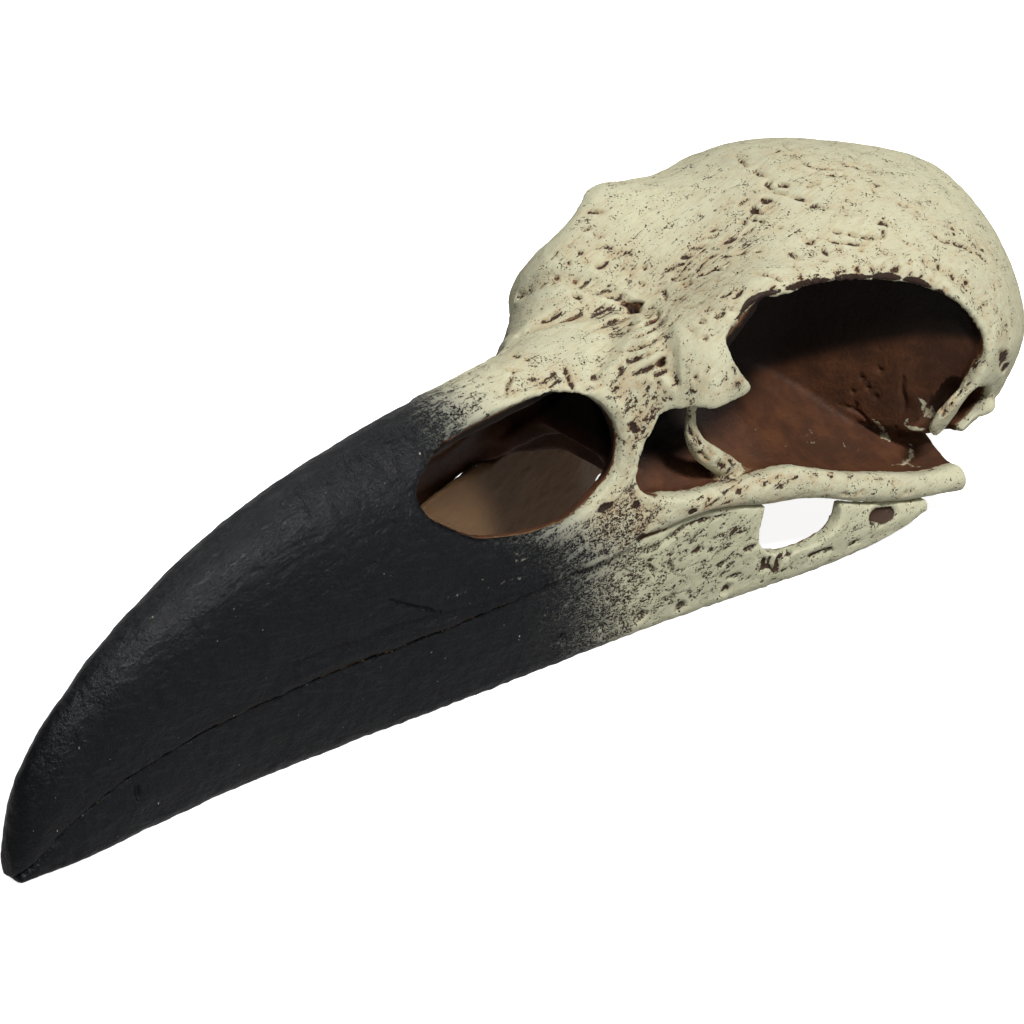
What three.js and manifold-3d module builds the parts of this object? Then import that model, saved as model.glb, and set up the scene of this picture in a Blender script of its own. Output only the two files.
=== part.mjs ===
// A raven skull with its bill closed: the skull, which is braincase, face and upper bill grown
// together, and the lower jaw, a bone of its own that the skull rests on.
// Millimetres, +Z up. The bill tip points to -X, and the left side of the bird is -Y.
import * as THREE from "three";
import { mergeVertices } from "three/addons/utils/BufferGeometryUtils.js";
import Module from "manifold-3d";

const wasm = await Module();
wasm.setup();

// Driving sizes. Places along the skull are distances back from the bill tip, called at.
const TIP = -1.7;
const BACK = 114.4; // back of the braincase
const DOME_FROM = 103; // from here back the braincase closes like a dome
const WALL = 1.7; // bone of the bill and the face
const PARTITION = 1.6; // bone between the bill's hollow and the eye sockets
const SEAM = 0.3; // gap between the skull and the lower jaw
const BILL_HOLLOW = { from: 15, to: 67 }; // what the nostrils open into
const SOCKET = { from: 62.6, to: 101.5 }; // eye socket with the opening in front of it
const DECK = { from: 60.5, to: 98.8 }; // floor of the eye sockets, with the cheek bars
const DECK_THICK = 2.1;
const JAW = { from: -1.1, forks: 33, to: 94.6, inset: 0.5 };
// How far in from the side the openings are cut, as half widths.
const NOSTRIL_CUT = { inner: 2.8, outer: 20 };
const SOCKET_CUT = { inner: 10.8, outer: 25 };
// In front of the socket the face is narrower, so the cut reaches further in there.
const CHEEK_CUT = { inner: 4, outer: 12, from: 52, to: 76, top: 25.5 };
const JAW_CUT = { inner: 5, outer: 20 };
const EAR_CUT = { inner: 11.6, outer: 20 };

// The outside of the skull, as half sections across it. crown is the height on the middle line,
// then come the brow, the side and the edge, each as [half width, height], and the height of the
// middle of the underside.
const SKULL_SECTIONS = [
  { at: -1.7, crown: 3.6, brow: [0.6, 3.1], side: [0.9, 1.9], edge: [0.6, 0.6], under: 0.5 },
  { at: 0, crown: 9.3, brow: [1.1, 7.9], side: [1.8, 4.4], edge: [1.5, 1.7], under: 1.5 },
  { at: 3, crown: 13.3, brow: [1.5, 11.7], side: [2.4, 7.8], edge: [2.2, 4.1], under: 3.9 },
  { at: 6, crown: 15.7, brow: [1.7, 14.1], side: [2.7, 10.0], edge: [2.6, 5.7], under: 5.5 },
  { at: 10, crown: 18.3, brow: [2.1, 16.8], side: [3.3, 12.2], edge: [3.2, 7.1], under: 6.9 },
  { at: 16, crown: 21.2, brow: [2.6, 19.4], side: [4.0, 14.2], edge: [3.9, 8.3], under: 8.1 },
  { at: 22, crown: 23.4, brow: [3.0, 21.6], side: [4.7, 15.6], edge: [4.6, 8.9], under: 8.7 },
  { at: 30, crown: 25.3, brow: [3.4, 23.4], side: [5.7, 16.4], edge: [5.6, 9.2], under: 9.0 },
  { at: 38, crown: 26.3, brow: [3.7, 24.3], side: [6.7, 17.0], edge: [6.7, 9.1], under: 8.9 },
  { at: 46, crown: 26.7, brow: [4.0, 24.7], side: [7.3, 17.4], edge: [8.1, 9.3], under: 9.1 },
  { at: 54, crown: 26.7, brow: [4.3, 24.7], side: [7.9, 18.0], edge: [9.7, 10.1], under: 9.9 },
  { at: 60, crown: 26.7, brow: [4.8, 24.6], side: [8.0, 18.8], edge: [10.7, 10.4], under: 10.2 },
  { at: 65, crown: 26.6, brow: [6.8, 25.6], side: [9.8, 21.4], edge: [11.2, 12.0], under: 11.0 },
  { at: 69, crown: 26.6, brow: [8.8, 28.0], side: [12.7, 24.6], edge: [12.2, 14.0], under: 12.0 },
  { at: 73, crown: 26.9, brow: [9.8, 29.9], side: [12.3, 26.8], edge: [12.3, 15.0], under: 12.5 },
  { at: 78, crown: 29.0, brow: [11.2, 31.5], side: [13.1, 28.4], edge: [12.8, 15.5], under: 12.5 },
  { at: 82, crown: 30.2, brow: [11.1, 30.6], side: [13.9, 25.8], edge: [13.3, 15.5], under: 12.5 },
  { at: 86, crown: 31.3, brow: [11.3, 29.7], side: [15.0, 23.6], edge: [13.8, 14.0], under: 12.0 },
  { at: 90, crown: 32.2, brow: [12.0, 29.3], side: [16.4, 21.5], edge: [14.5, 12.0], under: 10.0 },
  { at: 94, crown: 32.4, brow: [12.5, 28.9], side: [17.6, 20.0], edge: [15.2, 10.0], under: 8.0 },
  { at: 98, crown: 31.6, brow: [12.6, 27.8], side: [18.2, 19.0], edge: [15.5, 8.5], under: 6.3 },
  { at: 102, crown: 30.1, brow: [12.2, 26.3], side: [17.6, 18.0], edge: [14.5, 8.2], under: 6.0 },
  { at: 106, crown: 28.5, brow: [10.9, 24.6], side: [15.7, 16.6], edge: [13.3, 8.4], under: 6.4 },
  { at: 110, crown: 26.2, brow: [8.7, 22.2], side: [12.5, 15.0], edge: [10.6, 7.8], under: 6.4 },
  { at: 113, crown: 22.2, brow: [5.5, 19.2], side: [7.6, 14.0], edge: [6.2, 8.6], under: 7.6 },
  { at: 114.4, crown: 16.5, brow: [1.6, 15.6], side: [2.2, 13.8], edge: [1.5, 12.4], under: 12.0 },
];

// The deck that closes the eye sockets below. bar is the half width of the cheek bar's outer
// face, and top and bottom are the bar's heights there.
const DECK_SECTIONS = [
  { at: 60.5, bar: 9.6, top: 13.8, bottom: 10.9 },
  { at: 63, bar: 10.5, top: 14.4, bottom: 10.7 },
  { at: 65, bar: 11.2, top: 14.3, bottom: 10.7 },
  { at: 68, bar: 12.0, top: 13.6, bottom: 11.2 },
  { at: 71.5, bar: 12.6, top: 13.2, bottom: 10.9 },
  { at: 76.5, bar: 13.4, top: 12.7, bottom: 9.4 },
  { at: 79.5, bar: 13.8, top: 12.2, bottom: 8.7 },
  { at: 82, bar: 14.2, top: 11.0, bottom: 7.9 },
  { at: 86, bar: 14.8, top: 9.1, bottom: 6.1 },
  { at: 90, bar: 15.4, top: 7.6, bottom: 4.6 },
  { at: 94.5, bar: 16.1, top: 5.9, bottom: 3.4 },
  { at: 98.8, bar: 16.6, top: 5.2, bottom: 2.5 },
];

// How far the inner wall of the eye socket stands from the middle line: the thin wall between
// the sockets, then the front of the braincase.
const SOCKET_WALL = [
  { at: 62.6, y: 9.8 }, { at: 65, y: 7.4 }, { at: 68, y: 4.2 }, { at: 72, y: 2.2 },
  { at: 84, y: 1.8 }, { at: 88, y: 3.2 }, { at: 92, y: 7.2 }, { at: 95, y: 11.2 },
  { at: 98, y: 15.2 }, { at: 101.5, y: 19.0 },
];

// Openings in the side of the skull, as [at, height].
const NOSTRIL = [[41.1, 22.6], [41.6, 20.5], [43.3, 18.8], [46.5, 16.6], [50.8, 15.3],
  [55, 15.0], [58.4, 15.8], [61.2, 17.8], [62.3, 20.6], [61.6, 23.6], [59.3, 24.8],
  [54, 25.4], [49.5, 25.5], [44.4, 24.7]];
const SOCKET_RIM = [[76.9, 30.5], [73.8, 29.6], [72.1, 28.0], [72.1, 26.6], [73, 24.6],
  [74.2, 22.6], [73.4, 22.1], [70.6, 22.6], [68, 22.9], [66.2, 22.6], [64.6, 20.4],
  [63.2, 17.6], [63, 15.9], [64.8, 14.3], [69.5, 13.2], [76.7, 12.4], [81.7, 10.8],
  [88, 8.0], [95, 5.4], [98.7, 5.2], [99.0, 8.6], [98.2, 11.0], [97.2, 13.0], [97.6, 14.8],
  [98.6, 16.8], [99.1, 18.8], [98.6, 21.2], [96.5, 24.0], [92.3, 26.7], [84.3, 29.1]];
// The ear lies behind the eye socket and below it.
const EAR = [[97.8, 14.6], [99.4, 14.2], [100.9, 13.2], [102.2, 11.6], [102.3, 10.4],
  [101.0, 9.6], [99.6, 9.2], [98.0, 8.7], [96.2, 8.9], [96.6, 11.4], [97.3, 13.4]];
// The window in the jaw is open at the top, where the cheek bar closes it.
const JAW_WINDOW = [[75.7, 5.6], [76.0, 7.6], [76.8, 9.6], [80.0, 9.8], [83.4, 8.6],
  [84.6, 6.2], [84.2, 4.4], [82.6, 3.4], [79.4, 3.2], [76.8, 4.0]];

// The foot of the lower jaw: half width and height of its lower edge.
const JAW_FOOT = [
  { at: -1.1, half: 0.9, z: 0 }, { at: 5, half: 2.1, z: 0 }, { at: 13, half: 2.7, z: 0 },
  { at: 22, half: 3.3, z: 0 }, { at: 28, half: 4.2, z: 0 }, { at: 37, half: 5.6, z: 0 },
  { at: 46, half: 7.1, z: 0 }, { at: 54, half: 8.3, z: 0 }, { at: 60, half: 9.3, z: 0 },
  { at: 66, half: 10.3, z: 0 }, { at: 72, half: 11.5, z: 0 }, { at: 78, half: 12.8, z: 0 },
  { at: 85, half: 14.1, z: 0 }, { at: 89, half: 14.8, z: 0.4 }, { at: 92.5, half: 15.3, z: 1.2 },
  { at: 94.6, half: 15.5, z: 1.9 },
];

// Half width of the lower jaw's upper edge, before it is set in from the skull's edge.
const JAW_WIDE = [
  { at: -1.1, half: 0.6 }, { at: 3, half: 2.2 }, { at: 10, half: 3.2 }, { at: 22, half: 4.6 },
  { at: 30, half: 5.6 }, { at: 38, half: 6.7 }, { at: 46, half: 8.1 }, { at: 54, half: 9.3 },
  { at: 60, half: 10.1 }, { at: 65, half: 11.0 }, { at: 71.5, half: 12.4 },
  { at: 79.5, half: 13.8 }, { at: 86, half: 14.8 }, { at: 94.6, half: 16.1 },
];
// Thickness of the jaw's wall above and at its foot.
const JAW_WALLS = [
  { at: 33, above: 1.9, foot: 1.9 }, { at: 60, above: 1.9, foot: 1.9 },
  { at: 66, above: 1.65, foot: 1.8 }, { at: 70, above: 1.5, foot: 2.4 },
  { at: 74, above: 1.4, foot: 3.2 }, { at: 76.5, above: 1.35, foot: 2.4 },
  { at: 78.5, above: 1.3, foot: 1.5 }, { at: 95, above: 1.2, foot: 1.2 },
];

// Rods of bone that stand on the face, each point as [at, half width, height, width, thickness]:
// the hook that hangs from the brow, the spur behind the eye, and the flange behind the ear.
const LUMPS = [
  [[68.6, 10.9, 23.4, 0.9, 0.9], [68.8, 10.4, 21.5, 0.65, 0.65], [68.9, 10.3, 19.7, 0.8, 0.75],
    [69.9, 10.2, 17.4, 1.15, 0.95], [71.9, 10.1, 14.8, 1.4, 1.1], [74.0, 10.2, 12.9, 1.15, 0.9],
    [75.7, 10.4, 12.0, 0.5, 0.5]],
  [[98.8, 17.5, 16.6, 0.5, 0.5], [97.9, 17.1, 14.9, 0.55, 0.5], [96.8, 16.7, 13.8, 0.8, 0.5],
    [96.0, 16.0, 12.1, 1.4, 0.5], [95.8, 15.3, 10.5, 1.2, 0.5], [95.7, 15.0, 9.6, 0.4, 0.4]],
  [[101.4, 15.3, 9.2, 0.25, 0.25], [102.6, 15.2, 9.8, 0.8, 0.7], [104.0, 14.3, 9.6, 0.3, 0.3]],
];
// The shallow dent above the ear.
const DENT = { place: [101.3, 18.0, 14.8], radii: [1.1, 0.9, 1.9] };
const NECK_HOLE = { place: [113.5, 0, 9.4], radii: [3.4, 3.2, 2.8] };
const NECK_KNOB = { place: [110.6, 0, 6.0], radii: [1.5, 1.4, 1.3] };
// Where the face bends at the root of the bill: short grooves side by side.
const HINGE = { at: 68.6, half: 2.1, first: 1.4, last: 7.6, count: 6, width: 0.28, depth: 0.5 };
const CROWN_CRACKS = [
  [[90.3, -4.2], [93.6, -6.2], [96.2, -8.2]],
  [[84.6, -1.6], [87.4, -4.4], [89.6, -7.8]],
  [[104.6, -7.2], [104.9, -10.6], [104.0, -13.2]],
];
const PITS = [[72.4, 0, 0.8], [96.4, -5.0, 0.6], [91.0, -8.6, 0.6], [88.0, 3.0, 0.5], [94.0, 6.0, 0.6],
  [100.0, 2.4, 0.5], [84.0, -6.0, 0.5], [80.4, 3.6, 0.5]];

const STEPS_PER_SPAN = 4; // points between two control points of a section

// A value between the rows of a table, by a smooth curve through them.
function between(rows, at, read) {
  let i = 0;
  while (i < rows.length - 2 && rows[i + 1].at <= at) i += 1;
  const slope = (k) => {
    const a = rows[Math.max(k - 1, 0)];
    const b = rows[Math.min(k + 1, rows.length - 1)];
    return (read(b) - read(a)) / (b.at - a.at);
  };
  const span = rows[i + 1].at - rows[i].at;
  const t = THREE.MathUtils.clamp((at - rows[i].at) / span, 0, 1);
  const t2 = t * t;
  const t3 = t2 * t;
  return (2 * t3 - 3 * t2 + 1) * read(rows[i]) + (t3 - 2 * t2 + t) * span * slope(i)
    + (3 * t2 - 2 * t3) * read(rows[i + 1]) + (t3 - t2) * span * slope(i + 1);
}

// A solid from a vertex list and a face list, turned so that its faces point out.
function solid(positions, faces) {
  const corner = (k) => new THREE.Vector3().fromArray(positions, 3 * k);
  let volume = 0;
  for (let f = 0; f < faces.length; f += 3) {
    volume += corner(faces[f]).dot(corner(faces[f + 1]).cross(corner(faces[f + 2])));
  }
  if (volume < 0) faces.reverse();
  return new wasm.Manifold(new wasm.Mesh({
    numProp: 3,
    vertProperties: new Float32Array(positions),
    triVerts: new Uint32Array(faces),
  }));
}

// The triangles that close a flat ring, each in the ring's own turn.
function capOf(points) {
  const edge = (i) => new THREE.Vector3(...points[i]).sub(new THREE.Vector3(...points[0]));
  const normal = new THREE.Vector3();
  for (let i = 1; i < points.length - 1; i += 1) normal.add(edge(i).cross(edge(i + 1)));
  const size = normal.toArray().map(Math.abs);
  const drop = size.indexOf(Math.max(...size));
  const flat = points.map((p) => new THREE.Vector2(...p.filter((_, k) => k !== drop)));
  const turn = Math.sign(THREE.ShapeUtils.area(flat));
  return THREE.ShapeUtils.triangulateShape(flat, []).map((triangle) => {
    const same = Math.sign(THREE.ShapeUtils.area(triangle.map((k) => flat[k]))) === turn;
    return same ? triangle : [...triangle].reverse();
  });
}

// A closed solid through rings of [x, y, z] points.
function loft(rings) {
  const count = rings[0].length;
  const positions = rings.flat(2);
  const faces = [];
  for (let r = 0; r < rings.length - 1; r += 1) {
    for (let i = 0; i < count; i += 1) {
      const a = r * count + i;
      const b = r * count + ((i + 1) % count);
      faces.push(a, a + count, b, b, a + count, b + count);
    }
  }
  const last = (rings.length - 1) * count;
  for (const triangle of capOf(rings[0])) faces.push(...triangle);
  for (const [a, b, c] of capOf(rings.at(-1))) faces.push(last + c, last + b, last + a);
  return solid(positions, faces);
}

// The solid of a three.js geometry.
function fromGeometry(geometry) {
  geometry.deleteAttribute("normal");
  geometry.deleteAttribute("uv");
  const merged = mergeVertices(geometry, 1e-4);
  return solid([...merged.attributes.position.array], [...merged.index.array]);
}

function toGeometry(manifold) {
  const mesh = manifold.getMesh();
  const geometry = new THREE.BufferGeometry();
  geometry.setAttribute("position", new THREE.BufferAttribute(mesh.vertProperties, 3));
  geometry.setIndex(new THREE.BufferAttribute(mesh.triVerts, 1));
  geometry.computeVertexNormals();
  return geometry;
}

// A smooth line through a few [a, b] points.
function smoothLine(points, steps, closed = false) {
  const curve = new THREE.CatmullRomCurve3(
    points.map(([a, b]) => new THREE.Vector3(a, b, 0)), closed, "centripetal");
  return curve.getPoints(steps).map((p) => [p.x, p.y]);
}

const mirrored = (points) => points.map(([y, z]) => [-y, z]).reverse();

// A half section from the middle to the right, as a whole ring across the skull.
const ring = (at, half) =>
  [...mirrored(half.filter(([y]) => y > 0)), ...half].map(([y, z]) => [at, y, z]);

const steps = (from, to, count) =>
  Array.from({ length: count + 1 }, (_, i) => from + ((to - from) * i) / count);

// The outside of the skull at one place, from the left edge over the crown to the right edge,
// moved inwards by a wall thickness.
function skullArch(at, wall = 0, spanSteps = STEPS_PER_SPAN) {
  const row = (read) => between(SKULL_SECTIONS, at, read);
  const half = ["brow", "side", "edge"].map((k) => [row((s) => s[k][0]), row((s) => s[k][1])]);
  const control = [...mirrored(half), [0, row((s) => s.crown)], ...half];
  const arch = smoothLine(control, (control.length - 1) * spanSteps);
  return arch.map(([y, z], i) => {
    const a = arch[Math.max(i - 1, 0)];
    const b = arch[Math.min(i + 1, arch.length - 1)];
    const [dy, dz] = [b[0] - a[0], b[1] - a[1]];
    const length = Math.hypot(dy, dz);
    return [y + (dz * wall) / length, z - (dy * wall) / length];
  });
}

function skullOutside() {
  const turns = steps(0, Math.PI / 2, 7).slice(1);
  const dome = turns.map((t) => DOME_FROM + (BACK - DOME_FROM) * Math.sin(t));
  const bill = [TIP, ...steps(0, 10, 5), ...steps(14, 62, 12)];
  const places = [...bill, ...steps(65, DOME_FROM, 13), ...dome];
  return loft(places.map((at) => {
    const under = between(SKULL_SECTIONS, at, (s) => s.under);
    return [...skullArch(at), [0, under]].map(([y, z]) => [at, y, z]);
  }));
}

// The space inside the walls of bill, face and braincase, open below.
function skullInside(from, to, wall) {
  const bottom = -5;
  return loft(steps(from, to, Math.round((to - from) / 5)).map((at) => {
    const arch = skullArch(at, wall, 2);
    const ends = [[arch.at(-1)[0], bottom], [arch[0][0], bottom]];
    return [...arch, ...ends].map(([y, z]) => [at, y, z]);
  }));
}

// All that lies outside the inner wall of the eye socket, on one side, moved inwards by grow.
function socketSpace(side, grow = 0) {
  const [outer, low, high] = [30, -6, 45];
  const places = steps(SOCKET.from - grow, SOCKET.to, 13);
  return loft(places.map((at) => {
    const wall = between(SOCKET_WALL, at, (s) => s.y) - grow;
    const bulge = [[wall, low], [wall, 10], [wall, 22], [wall + 1.2, 27], [wall + 3, high]];
    return [...bulge, [outer, high], [outer, low]].map(([y, z]) => [at, side * y, z]);
  }));
}

// A solid with an outline seen from the side, on one side of the skull between two half widths.
function sideWindow(outline, side, { inner, outer }, segments = 40) {
  const shape = new THREE.Shape(
    smoothLine(outline, segments, true).map(([at, z]) => new THREE.Vector2(at, z)));
  const geometry = new THREE.ExtrudeGeometry(shape, { depth: outer - inner, bevelEnabled: false });
  geometry.rotateX(Math.PI / 2);
  geometry.translate(0, side < 0 ? -inner : outer, 0);
  return fromGeometry(geometry);
}

function ball([x, y, z], radii, side = 1, sides = 12) {
  const geometry = new THREE.SphereGeometry(1, sides, sides - 4);
  geometry.scale(...radii);
  geometry.translate(x, side * y, z);
  return fromGeometry(geometry);
}

// A rod of bone along a few points, each [x, y, z, half width, half thickness].
function rod(side, points, sides = 8) {
  const places = points.map(([x, y, z]) => new THREE.Vector3(x, side * y, z));
  return loft(points.map(([, , , width, thickness], i) => {
    const before = places[Math.max(i - 1, 0)];
    const after = places[Math.min(i + 1, places.length - 1)];
    const along = after.clone().sub(before).normalize();
    const flat = new THREE.Vector3(0, 1, 0).cross(along).normalize();
    const thick = along.clone().cross(flat);
    return steps(0, 2 * Math.PI, sides).slice(0, sides).map((t) => places[i].clone()
      .addScaledVector(flat, width * Math.cos(t))
      .addScaledVector(thick, thickness * Math.sin(t)).toArray());
  }));
}

// The height of the outside over a point of the plan.
function surface(at, y) {
  const arch = skullArch(at);
  const i = arch.findIndex((p) => p[0] >= y);
  const [a, b] = [arch[i - 1], arch[i]];
  return a[1] + ((b[1] - a[1]) * (y - a[0])) / (b[0] - a[0]);
}

// The small hollows of the outer surface, each a thin rod or a ball sunk into it.
function cracks() {
  const found = [];
  const { at, half, first, last, count, width, depth } = HINGE;
  for (const [i, y] of steps(first, last, count - 1).flatMap((v) => [v, -v]).entries()) {
    const [shift, long] = [Math.sin(2.4 * i) * 0.5, half * (1 + 0.4 * Math.sin(1.7 * i))];
    const line = [[at + shift - long, y * 0.95], [at + shift + long, y * 1.05]];
    found.push(line.map(([x, v]) => [x, v, surface(x, v), width, depth]));
  }
  for (const line of CROWN_CRACKS) {
    found.push(line.map(([x, v]) => [x, v, surface(x, v), width, depth]));
  }
  const rods = found.map((line) => rod(1, line, 4));
  const pits = PITS.map(([x, y, r]) =>
    ball([x, y, surface(x, y) + r * 0.4], [r * 1.3, r, r], 1, 7));
  return [...rods, ...pits];
}

// The floor of the eye sockets with the cheek bars along its edges, hollow below.
function deck() {
  return loft(steps(DECK.from, DECK.to, 14).map((at) => {
    const row = (read) => between(DECK_SECTIONS, at, read);
    const [bar, top, bottom] = [row((s) => s.bar), row((s) => s.top), row((s) => s.bottom)];
    const tall = top - bottom;
    const above = [[1.2, top + 6.5], [bar * 0.42, top + 2.8], [bar * 0.66, top + 0.5],
      [bar - 2.4, top - 0.4], [bar - 0.9, top]];
    const below = [[bar, top - tall * 0.4], [bar - 0.1, bottom + tall * 0.25],
      [bar - 0.8, bottom], [bar - 2.2, bottom + 0.3], [bar * 0.66, top + 0.4 - DECK_THICK],
      [bar * 0.42, top + 2.2 - DECK_THICK], [1.2, top + 3.4 - DECK_THICK]];
    return ring(at, [...above, ...below]);
  }));
}

const SIDES = [-1, 1];

// The space of the face in front of the eye and below the brow.
function cheekSpace() {
  const { from, to, top } = CHEEK_CUT;
  const box = new THREE.BoxGeometry(to - from, 2 * SOCKET_CUT.outer, top);
  return fromGeometry(box.translate((from + to) / 2, 0, top / 2));
}

// The hollows inside the skull: the bill's, then the eye sockets, with a wall between them.
function hollowed(bone) {
  let bill = skullInside(BILL_HOLLOW.from, BILL_HOLLOW.to, WALL);
  for (const side of SIDES) bill = bill.subtract(socketSpace(side, PARTITION));
  const within = skullInside(60, 104, WALL);
  const sockets = SIDES.map((side) => socketSpace(side).intersect(within));
  return bone.subtract(bill).subtract(sockets[0]).subtract(sockets[1]);
}

// What the openings in one side take out of the bone.
function sideOpenings(side) {
  const inside = skullInside(38, 104, WALL + 0.15);
  const cheek = sideWindow(SOCKET_RIM, side, CHEEK_CUT).intersect(cheekSpace());
  return [sideWindow(NOSTRIL, side, NOSTRIL_CUT), sideWindow(SOCKET_RIM, side, SOCKET_CUT), cheek]
    .map((window) => window.subtract(inside));
}

function skull() {
  let bone = hollowed(skullOutside());
  for (const opening of SIDES.flatMap(sideOpenings)) bone = bone.subtract(opening);
  bone = bone.add(deck());
  for (const side of SIDES) {
    bone = bone.subtract(sideWindow(EAR, side, EAR_CUT, 22));
    bone = bone.subtract(ball(DENT.place, DENT.radii, side));
    for (const lump of LUMPS) bone = bone.add(rod(side, lump));
  }
  bone = bone.subtract(ball(NECK_HOLE.place, NECK_HOLE.radii));
  bone = bone.add(ball(NECK_KNOB.place, NECK_KNOB.radii));
  for (const crack of cracks()) bone = bone.subtract(crack);
  return bone;
}

// The height of the skull's lower edge, which the jaw's upper edge follows.
function biteLine(at) {
  if (at < DECK.from) return between(SKULL_SECTIONS, at, (s) => s.edge[1]);
  return between(DECK_SECTIONS, at, (s) => s.bottom);
}

const jawEdge = (at) => between(JAW_WIDE, at, (s) => s.half) - JAW.inset;

function jawOutside() {
  return loft([...steps(JAW.from, 10, 4), ...steps(14, JAW.to, 20)].map((at) => {
    const top = biteLine(at) - SEAM;
    const [foot, z] = ["half", "z"].map((k) => between(JAW_FOOT, at, (s) => s[k]));
    const wide = Math.max(jawEdge(at), foot);
    const tall = top - z;
    return ring(at, [[0, top - 0.2], [wide * 0.6, top - 0.1], [wide - 0.15, top],
      [wide, top - tall * 0.12], [(wide + foot) / 2 + 0.25, z + tall * 0.5],
      [foot + 0.1, z + Math.min(tall * 0.12, 0.9)], [foot - 0.35, z], [0, z]]);
  }));
}

function jawInside() {
  return loft(steps(JAW.forks, JAW.to + 2, 24).map((at) => {
    const foot = between(JAW_FOOT, at, (s) => s.half);
    const [wall, footWall] = ["above", "foot"].map((k) => between(JAW_WALLS, at, (s) => s[k]));
    const open = Math.min(1, (at - JAW.forks + 1) / 8);
    const low = Math.max((foot - footWall) * open, 0.3);
    const high = Math.max((jawEdge(at) - wall) * open, 0.3);
    return [[-high, 20], [-low, -1], [low, -1], [high, 20]].map(([y, z]) => [at, y, z]);
  }));
}

function lowerJaw() {
  let bone = jawOutside().subtract(jawInside());
  for (const side of SIDES) bone = bone.subtract(sideWindow(JAW_WINDOW, side, JAW_CUT, 16));
  return bone;
}

const bonePaint = new THREE.MeshStandardMaterial({
  color: 0xd8d2a8, roughness: 0.7, metalness: 0,
});
const jawPaint = new THREE.MeshStandardMaterial({
  color: 0x2a2a2c, roughness: 0.55, metalness: 0,
});

function part(name, manifold, material) {
  const mesh = new THREE.Mesh(toGeometry(manifold), material);
  mesh.name = name;
  return mesh;
}

const group = new THREE.Group();
group.add(part("skull", skull(), bonePaint), part("lower_jaw", lowerJaw(), jawPaint));
group.position.x = -(TIP + BACK) / 2;

export default group;
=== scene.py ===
# %% [markdown]
# A raven's skull with its bill shut, painted: pale bone over brown, fading to black along the
# bill. This lesson models it around the measured solids, piece by piece, as a sculptor would:
# first the plain forms, then the hollows, then the cracks, and the paint last.
# All sizes are in millimetres and are turned to metres when a point is placed.

# %% Load the measured solids
import math

import bmesh
import bpy
import numpy as np
from mathutils import Matrix, Vector
from mathutils.bvhtree import BVHTree
from mathutils.kdtree import KDTree


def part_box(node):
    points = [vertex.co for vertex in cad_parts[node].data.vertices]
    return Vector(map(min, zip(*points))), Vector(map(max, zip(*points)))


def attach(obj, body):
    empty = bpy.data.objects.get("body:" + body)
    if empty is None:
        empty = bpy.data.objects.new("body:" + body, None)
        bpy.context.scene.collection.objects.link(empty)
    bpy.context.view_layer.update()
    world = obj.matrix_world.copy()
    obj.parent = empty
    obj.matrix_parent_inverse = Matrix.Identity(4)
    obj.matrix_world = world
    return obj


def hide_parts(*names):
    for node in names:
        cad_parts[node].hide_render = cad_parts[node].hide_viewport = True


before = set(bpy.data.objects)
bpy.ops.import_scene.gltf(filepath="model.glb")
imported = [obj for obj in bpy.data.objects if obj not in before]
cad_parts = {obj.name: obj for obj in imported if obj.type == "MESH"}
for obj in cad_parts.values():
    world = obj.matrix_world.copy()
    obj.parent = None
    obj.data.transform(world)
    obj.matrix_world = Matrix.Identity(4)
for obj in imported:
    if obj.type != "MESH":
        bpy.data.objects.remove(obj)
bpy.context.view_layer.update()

MM = 0.001
TIP = -1.7  # the tip of the upper bill on the skull's own scale
LOW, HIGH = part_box("skull")
START = LOW.x - TIP * MM  # where that scale is 0 in the frame
print("skull", [round(side / MM, 1) for side in HIGH - LOW], "mm")

# %% [markdown]
# The camera looks from the bird's left, from in front and above, at the angle of the
# photograph, and from far enough for a long lens to fill the picture.

# %% Camera
VIEW_AZIMUTH = math.radians(43.2)
VIEW_ELEVATION = math.radians(33.2)
VIEW_DISTANCE = 540
VIEW_TARGET = (53.8, -3.3, 14.3)
LENS = 215.5
SENSOR = 36


def place(at, y, z):
    """A point of the skull, in the frame: distance back from the bill tip, sideways, up."""
    return Vector((START + at * MM, y * MM, z * MM))


def make_camera():
    back = Vector((-math.sin(VIEW_AZIMUTH) * math.cos(VIEW_ELEVATION),
                   -math.cos(VIEW_AZIMUTH) * math.cos(VIEW_ELEVATION),
                   math.sin(VIEW_ELEVATION)))
    camera = bpy.data.objects.new("camera", bpy.data.cameras.new("camera"))
    camera.data.lens = LENS
    camera.data.sensor_width = SENSOR
    camera.data.clip_start = 0.01
    camera.location = place(*VIEW_TARGET) + back * VIEW_DISTANCE * MM
    camera.rotation_euler = back.to_track_quat("Z", "Y").to_euler()
    bpy.context.scene.collection.objects.link(camera)
    bpy.context.scene.camera = camera
    return camera


camera = make_camera()
print("camera at", [round(v, 3) for v in camera.location])

# %% [markdown]
# The skull's outside is a row of cross sections, from the bill tip to the back of the head.
# Each has a crown height on the middle line, then the brow, the side and the edge as half
# width and height, and the height of the underside. Between them a smooth curve fills in.

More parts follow.
